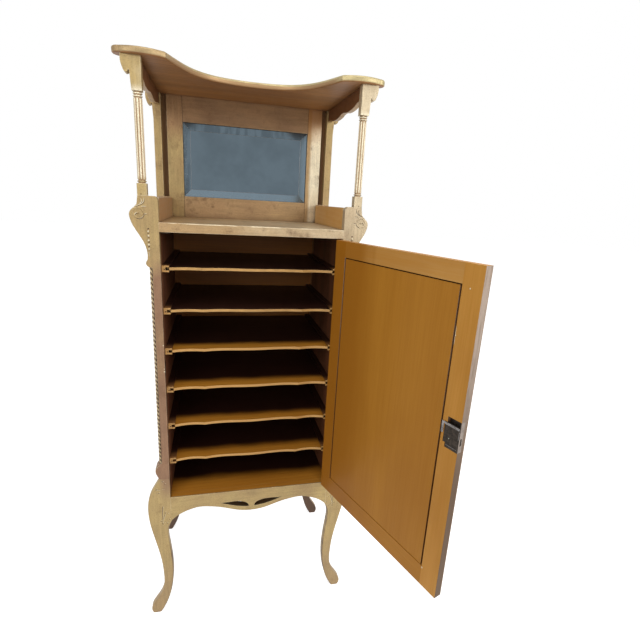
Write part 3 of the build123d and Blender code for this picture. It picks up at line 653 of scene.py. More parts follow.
def door_edge_tone(tree):
    """The greyed free edge of the door: darker low down and in streaks, and brown next to the outer face."""
    worn = streaks(tree, object_places(tree), across=260.0, along=26.0, detail=4.0, roughness=0.6)
    worn = faded(tree, stepped(tree, worn, low=0.46, high=0.66), share=0.35)
    upper = between(tree, PANEL_BOTTOM + 380 * MM, FAR, soft=180 * MM)
    tone = blended(tree, upper, colour("worn_edge"), colour("bare_edge"))
    tone = blended(tree, worn, tone, colour("worn_edge"))
    return blended(tree, door_skin(tree), tone, colour("strip_brown"))


def door_material(name, light, dark, along, contrast):
    """The door's wood: varnished inside, greyed at its free edge, and gold painted outside."""
    material, tree, shader = new_material(name, coat=0.04, specular=0.12)
    places = object_places(tree)
    shut = put(tree, "ShaderNodeMapping", {"Vector": places, "Rotation": (0.0, 0.0, SHUT_TURN)}).outputs[0]
    vector = laid_along(tree, shut, along)
    wood = use_group(tree, board_grain, Vector=vector, Light=colour(light), Dark=colour(dark), Across=30.0,
                     Contrast=contrast, Waves=0.05)
    clouds = stepped(tree, streaks(tree, vector, across=6.0, along=2.4, roughness=0.5), low=0.42, high=0.66)
    deep = most(tree, faded(tree, clouds, share=0.4), hinge_half_amber(tree))
    tone = blended(tree, deep, wood["Colour"], colour("amber"))
    free_edge = faded(tree, facing_along(tree, DOOR_ALONG), share=0.9)
    tone = blended(tree, free_edge, tone, door_edge_tone(tree))
    paint = use_group(tree, gold_paint, Vector=vector, Gold=colour("gold"), Warm=colour("rose_gold"),
                      Under=colour("undercoat_and_shade"), Glint=colour("glint"), Warmth=0.35, Thin=0.4)
    outside = facing_along(tree, -DOOR_INWARD)
    tone = blended(tree, outside, tone, paint["Colour"])
    # Painted shade in the grooves round the panel, in a brown of old varnish.
    groove = use_group(tree, soiling_and_corner_shade, Vector=places, Reach=0.007, Amount=1.4)
    edges = use_group(tree, eased_edges, Radius=0.8 * MM)
    fill(tree, shader, {
        "Base Color": blended(tree, groove["Mask"], tone, colour("gap_brown")),
        "Roughness": most(tree, wood["Roughness"], groove["Mask"]),
        "Metallic": faded(tree, outside, share=PAINT_METALLIC),
        "Normal": bumped(tree, wood["Height"], strength=0.12, relief=0.4, normal=edges["Normal"])})
    return material


def back_material(name):
    """Thin back boards: brown inside the case, greyer beside the mirror frame, and raw wood behind."""
    material, tree, shader = new_material(name, specular=0.2)
    places = object_places(tree)
    inside = use_group(tree, board_grain, Vector=laid_along(tree, places, "X"), Light=colour("case_wood"),
                       Dark=colour("case_stripe"), Across=12.0, Contrast=0.5)
    raw = use_group(tree, board_grain, Vector=places, Light=colour("frame_brown"), Dark=colour("canopy_stripe"),
                    Across=30.0)
    upper = between(tree, DECK_HIGH.z, FAR, soft=MM)
    tone = blended(tree, upper, inside["Colour"], colour("strip_brown"))
    fill(tree, shader, {"Base Color": blended(tree, facing_back(tree), tone, raw["Colour"]),
                        "Roughness": raw["Roughness"],
                        "Normal": bumped(tree, raw["Height"], strength=0.3, relief=0.5)})
    return material


def metal_material(name, tone, metallic, lock_edge=False):
    """Old hardware with blotchy tarnish and rubbed edges; the lock's is greyed on the door's free edge."""
    material, tree, shader = new_material(name, metallic)
    places = object_places(tree)
    edges = use_group(tree, eased_edges, Radius=0.6 * MM)
    blotches = noise(tree, places, scale=160.0, detail=4.0, roughness=0.65)
    tarnish = stepped(tree, blotches, low=0.38, high=0.66)
    shown = blended(tree, tarnish, colour(tone), colour(tone, strength=0.45))
    shown = blended(tree, faded(tree, edges["Mask"], share=0.5), shown, colour(tone, strength=2.2))
    if lock_edge:
        edge = facing_along(tree, DOOR_ALONG)
        patches = noise(tree, places, scale=90.0, detail=4.0)
        shown = blended(tree, edge, shown, blended(tree, patches, colour("worn_edge"), colour("bare_edge")))
        fill(tree, shader, {"Metallic": times(tree, inverse(tree, edge), metallic)})
    normal = bumped(tree, blotches, strength=0.15, relief=0.4, normal=edges["Normal"])
    fill(tree, shader, {"Base Color": shown, "Roughness": weighted(tree, 0.35, (blotches, 0.25)),
                        "Normal": normal})
    return material


def mirror_material(name):
    """Old silvered glass: bluish and cloudy, with painted reflections that make its bevels lighter on the right
    and bottom, a flaked rim, and painted shade round its edge.
    """
    material, tree, shader = new_material(name, metallic=1.0)
    places = object_places(tree)
    slope = split(tree, facing(tree))
    dim, bright = colour("glass", strength=0.72), colour("glass", strength=1.3)
    cloud = stepped(tree, noise(tree, places, scale=14.0, detail=4.0, roughness=0.6), low=0.35, high=0.75)
    tone = blended(tree, faded(tree, cloud, share=0.6), colour("glass"), dim)

    # Painted reflection: the bevels lighter on the right and bottom, darker and streaked on the left and top.
    tilt = plus(tree, maths(tree, "ABSOLUTE", slope["X"]), maths(tree, "ABSOLUTE", slope["Z"]))
    bevel = stepped(tree, tilt, low=0.01, high=0.03)
    lit_side = stepped(tree, minus(tree, slope["X"], slope["Z"]), low=-0.01, high=0.01)
    dull = stepped(tree, streaks(tree, places, across=70.0, along=12.0), low=0.42, high=0.58)
    sides = blended(tree, lit_side, blended(tree, dull, dim, colour("glass")), bright)
    tone = blended(tree, bevel, tone, sides)

    above_rim = between(tree, GLASS_LOW.z + 12 * MM, FAR, soft=8 * MM)
    inside_rim = between(tree, GLASS_LOW.x + 14 * MM, GLASS_HIGH.x - 8 * MM, soft=7 * MM, axis="X")
    rim = most(tree, inverse(tree, above_rim), inverse(tree, inside_rim))
    flakes = stepped(tree, noise(tree, places, scale=420.0, detail=4.0, roughness=0.7), low=0.58, high=0.66)
    lost = faded(tree, times(tree, rim, flakes), share=0.8)
    tone = blended(tree, lost, tone, colour("steel"))
    # Painted shade round the edge of the glass, where the frame's rebate shades it.
    seam = use_group(tree, soiling_and_corner_shade, Vector=places, Reach=0.004, Amount=1.2)
    fill(tree, shader, {"Base Color": blended(tree, seam["Mask"], tone, colour("cut_shade")),
                        "Roughness": weighted(tree, 0.02, (cloud, 0.05), (bevel, 0.10), (lost, 0.5))})
    return material


def plain_tone(name, tone, rough, metallic=0.0):
    """A small detail's finish: one tone broken by fine noise."""
    material, tree, shader = new_material(name, metallic)
    grain = noise(tree, object_places(tree), scale=240.0)
    fill(tree, shader, {"Base Color": blended(tree, grain, colour(tone), colour(tone, strength=0.6)),
                        "Roughness": weighted(tree, rough, (grain, 0.2))})
    return material


# Mesh helpers

DOT_STEPS, DOT_ROWS = 16, 4


def mesh_piece(name, points, faces, material, body):
    """A smooth mesh that rides on a body."""
    mesh = bpy.data.meshes.new(name)
    mesh.from_pydata(points, [], faces)
    mesh.validate()
    mesh.update()
    return riding_piece(name, mesh, material, body)


def riding_piece(name, mesh, material, body):
    """A mesh as a smooth piece of one material that rides on a body."""
    for polygon in mesh.polygons:
        polygon.use_smooth = True
    mesh.materials.clear()
    mesh.materials.append(material)
    piece = bpy.data.objects.new(name, mesh)
    bpy.context.scene.collection.objects.link(piece)
    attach(piece, body)
    return piece


def tube(name, points, radius, material, body=CABINET, taper=None):
    """A round bar along a smooth line, its radius in millimetres; taper gives its share at each point."""
    data = bpy.data.curves.new(name, "CURVE")
    data.dimensions = "3D"
    data.bevel_depth = radius * MM
    data.bevel_resolution = 2
    data.resolution_u = 6
    data.use_fill_caps = True
    line = data.splines.new("NURBS")
    line.points.add(len(points) - 1)
    for point, place, share in zip(line.points, points, taper or [1.0] * len(points)):
        point.co = (*place, 1.0)
        point.radius = share
    line.order_u = 3
    line.use_endpoint_u = True
    holder = bpy.data.objects.new(name + "_line", data)
    bpy.context.scene.collection.objects.link(holder)
    bpy.context.view_layer.update()
    mesh = bpy.data.meshes.new_from_object(holder.evaluated_get(bpy.context.evaluated_depsgraph_get()))
    mesh.name = name
    bpy.data.objects.remove(holder)
    bpy.data.curves.remove(data)
    return riding_piece(name, mesh, material, body)


def dot(name, centre, form, material, towards=FORWARD, body=CABINET):
    """A small round bump on a face that looks along towards; form is its radius and rise in millimetres."""
    radius, rise = (value * MM for value in form)
    look = towards.normalized()
    side = look.orthogonal().normalized()
    other = look.cross(side)
    steps, rows = DOT_STEPS, DOT_ROWS
    points, faces = [], []
    for row in range(rows):
        lean = math.pi / 2 * row / rows
        for step in range(steps):
            turn = math.tau * step / steps
            flat = side * math.cos(turn) + other * math.sin(turn)
            points.append(centre + flat * radius * math.cos(lean) + look * rise * math.sin(lean))
    points.append(centre + look * rise)
    for row in range(rows - 1):
        for step in range(steps):
            low, high = row * steps, (row + 1) * steps
            after = (step + 1) % steps
            faces.append((low + step, low + after, high + after, high + step))
    last = (rows - 1) * steps
    faces += [(last + step, last + (step + 1) % steps, len(points) - 1) for step in range(steps)]
    faces.append(tuple(reversed(range(steps))))
    return mesh_piece(name, points, faces, material, body)


def joined(name, parts):
    """Several pieces on one body as one piece."""
    bpy.ops.object.select_all(action="DESELECT")
    for part in parts:
        part.select_set(True)
    bpy.context.view_layer.objects.active = parts[0]
    bpy.ops.object.join()
    parts[0].name = name
    return parts[0]


def paint_nodes(names, material):
    """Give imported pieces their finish."""
    for name in names:
        mesh = NODES[name].data
        mesh.materials.clear()
        mesh.materials.append(material)


def both(name):
    return [name + "_left", name + "_right"]


# Boards and their gold paint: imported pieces, name of the finish, and its values for gold_material
STILE_HEIGHTS = (380 * MM, ROPE_HIGH.z - 20 * MM, 50 * MM)
# Posts: the shafts turn to the lit cream gold as painted highlight on the reeds, with a strong painted highlight
# on the edges.
POST = {"warm": "lit_cream_gold", "warmth": 0.0, "thin": 0.3, "reach": 0.006, "rubbed": 0.7,
        "straight": (DECK_HIGH.z + 90 * MM, CANOPY_LOW.z - 60 * MM, 10 * MM), "hollows": post_grooves,
        "hollow_tone": "frame_brown"}
GALLERY = {"gold": "pale_gold", "warm": "old_gold", "warmth": 0.2, "thin": 0.6, "along": "Y", "metallic": 0.2}
GOLD_BOARDS = (
    # Front legs: darker towards the floor and in patches on their inner faces, both painted shade.
    (both("leg_front"), "gold_legs", {
        "gold": "gold", "warm": "shaded_gold", "warmth": 0.25, "thin": 0.35, "metallic": 0.45,
        "straight": (-FAR, 120 * MM, 120 * MM), "bare": (leg_tops, "rose_gold", "rose_gold", "Z"),
        "hollows": leg_inner_shade}),
    # Back legs: a shaded copy of the gold, with painted shade on their front and inner faces.
    (both("leg_back"), "gold_back_legs", {
        "gold": "shaded_gold", "warm": "frame_brown", "warmth": 0.4, "thin": 0.5,
        "bare": (back_leg_shade, "undercoat_and_shade", "old_patch_and_shade", "Z")}),
    # Apron: the sides of the pierced leaves are painted dark as shade.
    (["front_apron"], "gold_apron", {
        "gold": "gold", "warm": "rose_gold", "warmth": 0.12, "thin": 0.3, "along": "X",
        "bare": (apron_top, "honey", "amber", "X"), "hollows": leaf_sides, "hollow_tone": "cut_shade"}),
    (["front_stile_left"], "gold_stile_left", {
        "gold": "gold", "warm": "rose_gold", "warmth": 0.15, "thin": 0.4, "straight": STILE_HEIGHTS,
        "reach": 0.004}),
    # The right stile has the paler gold and the left the darker: painted light, as the right side is lit.
    (["front_stile_right"], "gold_stile_right", {
        "gold": "pale_gold", "warm": "rose_gold", "warmth": 0.1, "thin": 0.4, "straight": STILE_HEIGHTS,
        "reach": 0.004}),
    (both("back_stile"), "gold_back_stiles", {
        "gold": "old_gold", "warm": "rose_gold", "warmth": 0.2, "thin": 0.5}),
    (["front_post_left"], "gold_post_left", {"gold": "gold", **POST}),
    # The right post has the paler gold and the left the darker: painted light, as the right side is lit.
    (["front_post_right"], "gold_post_right", {"gold": "pale_gold", **POST}),
    (both("back_post"), "gold_back_posts", {
        "gold": "gold", "warm": "old_gold", "warmth": 0.3, "thin": 0.4, "reach": 0.006,
        "hollows": back_post_grooves}),
    # Deck: its left half turns to old gold as painted shade, with painted highlight on its edges and along its top
    # front edge.
    (["deck"], "gold_deck", {
        "gold": "pale_gold", "warm": "old_gold", "warmth": 0.15, "thin": 0.7, "along": "X", "rubbed": 0.9,
        "soiling_and_shade": 1.0, "reach": 0.03, "straight": (-FAR, MIDDLE_X, 200 * MM, "X"), "hollows": deck_edge_highlight,
        "hollow_tone": "glint", "bare": (facing_down, "shade_wood", "shade_stripe", "X")}),
    # Galleries: painted highlight on their edges, stronger on the left, and the right gallery's inner face painted
    # lighter than the left's as painted light.
    (["gallery_left"], "gold_gallery_left", {
        **GALLERY, "rubbed": 0.8, "bare": (facing_middle, "frame_brown", "canopy_wood", "Y")}),
    (["gallery_right"], "gold_gallery_right", {
        **GALLERY, "bare": (facing_middle, "lip", "pale_honey", "Y")}),
    # Left stile of the mirror frame: darker at its top, under the canopy, as painted shade.
    (["mirror_stile_left"], "frame_side_left", {
        "gold": "gold", "warm": "frame_brown", "warmth": 0.2, "thin": 0.5,
        "straight": (GLASS_HIGH.z - 30 * MM, FAR, 40 * MM)}),
    # Right stile of the mirror frame: the lit cream gold away from the glass as painted highlight, and painted
    # shade at its top under the canopy.
    (["mirror_stile_right"], "frame_side_right", {
        "gold": "lit_cream_gold", "warm": "old_gold", "warmth": 0.2, "thin": 0.7, "metallic": 0.5, "soiling_and_shade": 1.0,
        "straight": (-FAR, GLASS_HIGH.x + 6 * MM, 6 * MM, "X"), "hollows": canopy_shadow_on_frame,
        "hollow_tone": "canopy_wood"}),
    (["mirror_rail_bottom"], "frame_rail", {
        "gold": "old_gold", "warm": "frame_brown", "warmth": 0.25, "thin": 0.7, "along": "X",
        "metallic": 0.15, "soiling_and_shade": 1.0, "reach": 0.03}),
    (["mirror_rail_top"], "frame_head", {
        "gold": "frame_brown", "warm": "undercoat_and_shade", "warmth": 0.1, "thin": 0.4, "along": "X",
        "metallic": 0.1}),
    # Canopy: its left end turns to the shaded gold as painted shade, with painted highlight on its edges and
    # painted shade in the corners beneath.
    (["canopy"], "gold_canopy", {
        "gold": "bright_gold", "warm": "shaded_gold", "warmth": 0.0, "thin": 0.35, "along": "X",
        "metallic": 0.5, "straight": (-FAR, MIDDLE_X - 100 * MM, 160 * MM, "X"), "rubbed": 0.5, "soiling_and_shade": 1.0,
        "reach": 0.05, "bare": (facing_down, "canopy_wood", "canopy_stripe", "X"), "hollows": canopy_edge,
        "hollow_tone": "frame_brown"}),
    (both("side_valance"), "gold_valances", {
        "gold": "old_gold", "warm": "frame_brown", "warmth": 0.2, "thin": 0.5, "along": "Y", "soiling_and_shade": 1.0,
        "bare": (facing_middle, "canopy_stripe", "side_wood", "Y")}),
    (both("case_side"), "gold_case_sides", {
        "gold": "gold", "warm": "old_gold", "warmth": 0.3, "thin": 0.4,
        "bare": (facing_middle, "side_wood", "shade_stripe", "Z")}),
)

# The door's boards: imported piece, name of the finish, light and dark tone, grain and contrast
# The lock stile and top rail are lighter than the hinge stile: partly the wood's own tone, partly painted sheen
# that lightens the door towards its top and its lock side.
DOOR_BOARDS = (
    ("door_stile_hinge", "door_hinge_side_wood", "amber", "amber_stripe", "Z", 0.6),
    ("door_stile_lock", "door_lock_side_wood", "pale_honey", "honey", "Z", 0.7),
    ("door_rail_top", "door_head_wood", "lip", "pale_honey", "X", 0.9),
    ("door_rail_bottom", "door_foot_wood", "honey", "amber", "X", 0.5),
    ("door_panel", "door_panel_wood", "honey", "amber", "Z", 0.5),
)

# The mirror's bevel, with its painted highlight lines, and the joints of its frame
BEVEL_WIDTH = 24.2 * MM
BEVEL_PROUD = 0.15 * MM
MITRE = (19 * MM, 0.9 * MM, 19 * MM)
JOINT_PROUD = 0.1 * MM
JOINT_LAP = 4 * MM
BEVEL_RADIUS, MITRE_RADIUS, JOINT_RADIUS = 0.35, 0.3, 0.45  # in millimetres

# The rope: steps round it and up it, and how deep its turns are cut
ROPE_STEPS = 28
ROPE_RISE = 1.3 * MM
ROPE_CORE = 0.55

# Carved lines on the front of the ears and knees: places out from the middle and up, in millimetres
EAR_LINES = {
    "scroll": [(261.0, 1102.8), (255.1, 1103.4), (249.0, 1103.3), (244.6, 1101.6), (241.3, 1096.5),
               (240.1, 1091.1), (241.2, 1086.3), (244.9, 1082.1), (250.2, 1080.5), (255.8, 1082.1),
               (259.0, 1086.0), (257.6, 1091.2), (252.5, 1093.4), (248.6, 1091.4)],
    "stem": [(238.3, 1124.0), (238.2, 1117.4), (242.5, 1112.4), (247.8, 1109.6), (253.6, 1107.4),
             (256.6, 1105.5)],
    "leaf": [(247.7, 1111.5), (244.0, 1113.8), (242.4, 1118.8), (245.6, 1122.8)],
    "vein": [(245.0, 1105.6), (239.3, 1106.8), (234.6, 1105.9)],
    "link": [(240.6, 1089.6), (237.0, 1090.9), (233.6, 1091.0)],
    "streak": [(233.4, 1009.0), (232.4, 1003.8), (232.0, 998.6)],
}
KNEE_LINES = {
    "long": [(230.2, 347.6), (231.6, 330.6), (231.6, 311.6), (231.6, 295)],
    "side": [(224.2, 324.4), (227.3, 316.2), (230.5, 304.4)],
    "tick_out": [(238.3, 301.2), (234.2, 299.4)],
    "tick_in": [(228, 296.7), (223.1, 299)],
    "tick_low": [(234.6, 288.4), (229.6, 291.2)],
    "neck_low": [(232, 400), (222.8, 400)],
    "neck_high": [(232, 422.6), (226.7, 422)],
    "neck_mark": [(245.9, 396.9), (240.4, 398.7), (235.1, 396.4)],
    "neck_under": [(244.9, 388.4), (236.2, 387.3)],
    "bump": [(232.1, 470.8), (239.5, 468.3), (243.1, 460.6)],
}
KNEE_PRICKS = [(244.2, 399.4), (238.1, 387.2), (222.4, 412.7), (227.6, 420), (236, 300.7), (232.5, 294.5),
               (221.2, 292.8), (225.2, 326.7), (230.6, 342.4), (214.8, 304.6), (218.2, 321.9)]
BEAD_OUT = 232.5
BEAD_PITCH = 9.6
BEAD_HEIGHTS = [1053.8 - BEAD_PITCH * step for step in range(5)]
BEAD_PROUD = 1.2
NAIL_PLACE = (243.3, 1131.3)
LINE_SUNK = 0.45
BESIDE_SHIFT = (1.0, 0.1, 1.8)
BESIDE_SHARE = 0.7
TAPER = 0.6
RIM_SHIFT = (-1.8, 1.6)

# Dots: radius and rise, in millimetres
PRICK, PRICK_RIM = (1.1, 0.3), (0.9, 0.4)
BEAD, BEAD_GAP = (2.1, 1.3), (2.0, 0.4)
STILE_NAIL, RUNNER_NAIL = (1.1, 0.5), (1.6, 0.5)
STILE_CHIP_RISE, DOOR_CHIP_RISE = 0.3, 0.35
LOCK_DOT = (1.2, 0.4)
RUNNER_NAIL_INSET, RUNNER_NAIL_DROP = 5 * MM, 1 * MM

# Chips: name, place and radius in millimetres, on the front of the stile and on the door's inner face
STILE_CHIPS = (("chip_low", -211.4, 724, 1.7), ("chip_mid", -211.6, 731, 1.3), ("chip_high", -211.8, 790, 1.4))
DOOR_CHIPS = (("door_chip_high", 393.7, 1008.6, 1.4), ("door_chip_low", 377.6, 415.0, 2.0),
              ("door_chip_joint", 377.6, 921.6, 1.2))
# A flaked line beside the panel: places and shares of its radius
FLAKED_EDGE = ((376.9, 938, 0.4), (377.2, 929, 1.0), (376.8, 920, 0.6), (377.3, 911, 1.2), (376.9, 903, 0.3))
FLAKED_RADIUS = 0.5

# Marks on the lock, in millimetres on the door's inner face: out from the pin, up, and proud
KEY_DOT = (395.8, 726, 0.5)
# The upright line is a painted highlight down the lock's edge.
UPRIGHT_LINE = ((416.5, 733, 0.1), (416.5, 749, 0.1))
LOW_LINE = ((391, 711, 0.1), (415, 711, 0.1))
HATCH_COUNT = 14
HATCH_FIRST, HATCH_PITCH, HATCH_LEAN = 382.0, 2.4, 1.2
HATCH_HEIGHTS = (752.1, 755.1)
HATCH_PROUD = 1.4
UPRIGHT_RADIUS, LOW_RADIUS, HATCH_RADIUS = 0.5, 0.35, 0.22

# Light and camera: each lamp has a place, a place it looks at, a share of the power, and a width
FLOOR_GREY = (0.8, 0.8, 0.8, 1.0)
FLOOR_ROUGHNESS = 0.9
FLOOR_SIZE = 30.0
FLOOR_GLOW = 0.75
STUDIO_LIGHT = 0.42
LAMPS = (
    ("lamp_left", (-1.6, -2.4, 2.0), (0.25, 0.1, 0.8), 0.75, 1.4),
    ("lamp_right", (2.3, -1.9, 1.9), (0.25, 0.1, 0.8), 1.15, 1.3),
    ("lamp_top", (0.2, -1.0, 3.3), (0.25, 0.1, 0.5), 0.8, 1.2),
)
LENS, SENSOR = 24.07, 36.0
CAMERA_PLACE = (0.16806, -1.02029, 1.13356)
CAMERA_RIGHT = Vector((0.97211, -0.22790, 0.05537))
CAMERA_UP = Vector((0.00812, 0.26867, 0.96319))


def front_place(side, out, up, proud=0.0):
    """A place on the front of the stiles: out from the middle, up, and proud of it, in millimetres."""
    return Vector((MIDDLE_X + side * out * MM, FRONT_Y - proud * MM, up * MM))


def door_place(out, up, proud=0.0):
    """A place on the inner face of the open door: out from the pin, up, and proud of it, in millimetres."""
    return Vector((PIN.x, PIN.y, up * MM)) + DOOR_ALONG * out * MM + DOOR_INWARD * (DOOR_FACE + proud * MM)


def carved(name, side, line, first, second):
    """A carved line of one tone with a thinner line of another beside it; one is painted shade, the other painted
    highlight.
    """
    radius = size("carved_line") / MM
    out, front, down = BESIDE_SHIFT
    places = [front_place(side, *place, -radius * LINE_SUNK) for place in line]
    beside = [place + Vector((-side * out, -front, -down)) * radius * MM for place in places]
    taper = [TAPER] + [1.0] * (len(places) - 2) + [TAPER]
    return [tube(name, places, radius, first, taper=taper),
            tube(name + "_beside", beside, radius * BESIDE_SHARE, second, taper=taper)]


# Operators


class CABINET_OT_gold_boards(bpy.types.Operator):
    """Gold paint on the legs, stiles, posts, apron, canopy, deck and mirror frame"""

    bl_idname = "cabinet.gold_boards"
    bl_label = "Gold painted boards"

    def execute(self, context):
        for names, finish, values in GOLD_BOARDS:
            paint_nodes(names, gold_material(finish, **values))
        return {"FINISHED"}


class CABINET_OT_inner_boards(bpy.types.Operator):
    """Wood of the back, bottom, runners and shelves"""

    bl_idname = "cabinet.inner_boards"
    bl_label = "Inner boards and shelves"

    def execute(self, context):
        paint_nodes(["case_back", "mirror_back_board"], back_material("back_boards"))
        paint_nodes(["back_rail"], wood_material("back_rail_wood", "canopy_wood", "shade_wood", gloss=0.0))
        paint_nodes(["bottom_board"],
                    wood_material("bottom_wood", "honey", "amber", gloss=0.1, lit_depth=(0.045, 0.085)))
        paint_nodes(["shelf_%d" % level for level in range(1, 5)],
                    shelf_material("shelf_wood", "honey", "amber", front=0.036, back=0.072))
        paint_nodes(["shelf_%d" % level for level in range(5, 7)],
                    shelf_material("upper_shelf_wood", "shade_wood", "shade_stripe", front=-0.01, back=0.03))
        paint_nodes(["runners_%d" % level for level in range(1, 7)],
                    shelf_material("runner_wood", "canopy_wood", "shade_wood", front=0.0, back=0.05))
        return {"FINISHED"}


class CABINET_OT_door_boards(bpy.types.Operator):
    """Varnished wood of the door, with its gold painted outer face"""

    bl_idname = "cabinet.door_boards"
    bl_label = "Door boards"

    def execute(self, context):
        for name, finish, light, dark, along, contrast in DOOR_BOARDS:
            paint_nodes([name], door_material(finish, light, dark, along, contrast))
        return {"FINISHED"}


class CABINET_OT_hardware(bpy.types.Operator):
    """Tarnish on the lock, plates, hinges and screws"""

    bl_idname = "cabinet.hardware"
    bl_label = "Lock and hinges"

    def execute(self, context):
        paint_nodes(["lock_case"], metal_material("old_lock", "bronze", 0.7, lock_edge=True))
        paint_nodes(["key_plate", "strike_plate", "door_stop", "lock_bolt"],
                    metal_material("old_bronze", "bronze", 0.7))
        paint_nodes(["lock_cover", "hinge_leaves_case", "hinge_leaves_door", "hinge_pins",
                     "hinge_screws_case", "hinge_screws_door"], metal_material("dull_steel", "steel", 0.8))
        return {"FINISHED"}


class CABINET_OT_mirror(bpy.types.Operator):
    """Old silvered glass, painted highlight lines along its bevel, and the joints of its frame"""

    bl_idname = "cabinet.mirror"
    bl_label = "Mirror"

    def execute(self, context):
        paint_nodes(["mirror_glass"], mirror_material("old_mirror"))
        # Thin bright lines along the bevel's edges: painted highlight.
        bright = plain_tone("bevel_glint", "steel", rough=0.2, metallic=0.6)
        ways = ((-1, -1), (1, -1), (1, 1), (-1, 1))
        across = {-1: GLASS_LOW.x + BEVEL_WIDTH, 1: GLASS_HIGH.x - BEVEL_WIDTH}
        height = {-1: GLASS_LOW.z + BEVEL_WIDTH, 1: GLASS_HIGH.z - BEVEL_WIDTH}
        corners = [Vector((across[right], GLASS_LOW.y + BEVEL_PROUD, height[up])) for right, up in ways]
        lines = [tube("bevel_line_%d" % index, [corners[index], corners[(index + 1) % 4]], BEVEL_RADIUS, bright)
                 for index in range(4)]
        for index, (right, up) in enumerate(ways):
            rim = corners[index] + Vector((right * MITRE[0], MITRE[1], up * MITRE[2]))
            lines.append(tube("bevel_mitre_%d" % index, [corners[index], rim], MITRE_RADIUS, bright))
        joined("bevel_lines", lines)

        dark = plain_tone("frame_joint", "old_patch_and_shade", rough=0.8)
        parts = (("low", FRAME_LOW.z, GLASS_LOW.z + JOINT_LAP), ("high", GLASS_HIGH.z - JOINT_LAP, FRAME_HIGH.z))
        joints = []
        for label, side in SIDES:
            out = MIDDLE_X + side * (MIDDLE_X - FRAME_HIGH.x)
            for name, low, high in parts:
                ends = [Vector((out, FRAME_LOW.y - JOINT_PROUD, up)) for up in (low, high)]
                joints.append(tube("frame_joint_%s_%s" % (name, label), ends, JOINT_RADIUS, dark))
        joined("frame_joints", joints)
        return {"FINISHED"}


class CABINET_OT_rope_mouldings(bpy.types.Operator):
    """Twisted rope along the outer edges of the front stiles"""

    bl_idname = "cabinet.rope_mouldings"
    bl_label = "Rope mouldings"

    def execute(self, context):
        material = gold_material("gold_rope", "pale_gold", "gold", warmth=0.3, thin=0.3, reach=0.003,
                                 hollows=rope_grooves)
        for side, turn in SIDES:
            low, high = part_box("rope_moulding_" + side)
            radius = (high.x - low.x) / 2
            middle_x, middle_y = (low.x + high.x) / 2, low.y + radius
            rows = int((high.z - low.z) / ROPE_RISE)
            points = []
            for row in range(rows + 1):
                height = low.z + (high.z - low.z) * row / rows
                twist = math.pi * height / size("rope_pitch") * turn
                for step in range(ROPE_STEPS):
                    angle = math.tau * step / ROPE_STEPS
                    reach = radius * (ROPE_CORE + (1 - ROPE_CORE) * abs(math.cos(angle - twist)))
                    points.append((middle_x + reach * math.cos(angle), middle_y + reach * math.sin(angle), height))
            faces = []
            for row in range(rows):
                for step in range(ROPE_STEPS):
                    after = (step + 1) % ROPE_STEPS
                    start, above = row * ROPE_STEPS, (row + 1) * ROPE_STEPS
                    faces.append((start + step, start + after, above + after, above + step))
            faces.append(tuple(reversed(range(ROPE_STEPS))))
            faces.append(tuple(rows * ROPE_STEPS + step for step in range(ROPE_STEPS)))
            piece = mesh_piece("rope_" + side, points, faces, material, CABINET)
            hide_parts("rope_moulding_" + side)
        return {"FINISHED"}


class CABINET_OT_carving(bpy.types.Operator):
    """Scratched carving and beads on the ears, and carving on the knees of the stiles, drawn in painted shade and
    painted highlight
    """

    bl_idname = "cabinet.carving"
    bl_label = "Carved lines"

    def execute(self, context):
        dark = plain_tone("carved_dark", "old_patch_and_shade", rough=0.7)
        bright = plain_tone("carved_glint", "glint", rough=0.35, metallic=0.2)
        for label, side in SIDES:
            lines = []
            for name, line in EAR_LINES.items():
                # The left ears' main lines are painted highlight and the right ears' painted shade, as the light
                # falls.
                tones = (bright, dark) if side < 0 else (dark, bright)
                lines += carved(name + "_" + label, side, line, *tones)
            for name, line in KNEE_LINES.items():
                lines += carved(name + "_" + label, side, line, dark, bright)
            # Each prick is a dark dot with a painted highlight on its rim.
            for index, (out, up) in enumerate(KNEE_PRICKS):
                name = "%d_%s" % (index, label)
                rim = front_place(side, out + RIM_SHIFT[0], up + RIM_SHIFT[1])
                lines.append(dot("prick_" + name, front_place(side, out, up), PRICK, dark))
                lines.append(dot("prick_rim_" + name, rim, PRICK_RIM, bright))
            # Each bead gets a painted highlight on top and painted shade in the gap above it.
            for index, up in enumerate(BEAD_HEIGHTS):
                name = "%d_%s" % (index, label)
                above = front_place(side, BEAD_OUT, up + BEAD_PITCH / 2)
                lines.append(dot("bead_gap_" + name, above, BEAD_GAP, dark))
                lines.append(dot("bead_" + name, front_place(side, BEAD_OUT, up, BEAD_PROUD), BEAD, bright))
            lines.append(dot("nail_" + label, front_place(side, *NAIL_PLACE), STILE_NAIL, dark))
            joined("carving_" + label, lines)
        return {"FINISHED"}


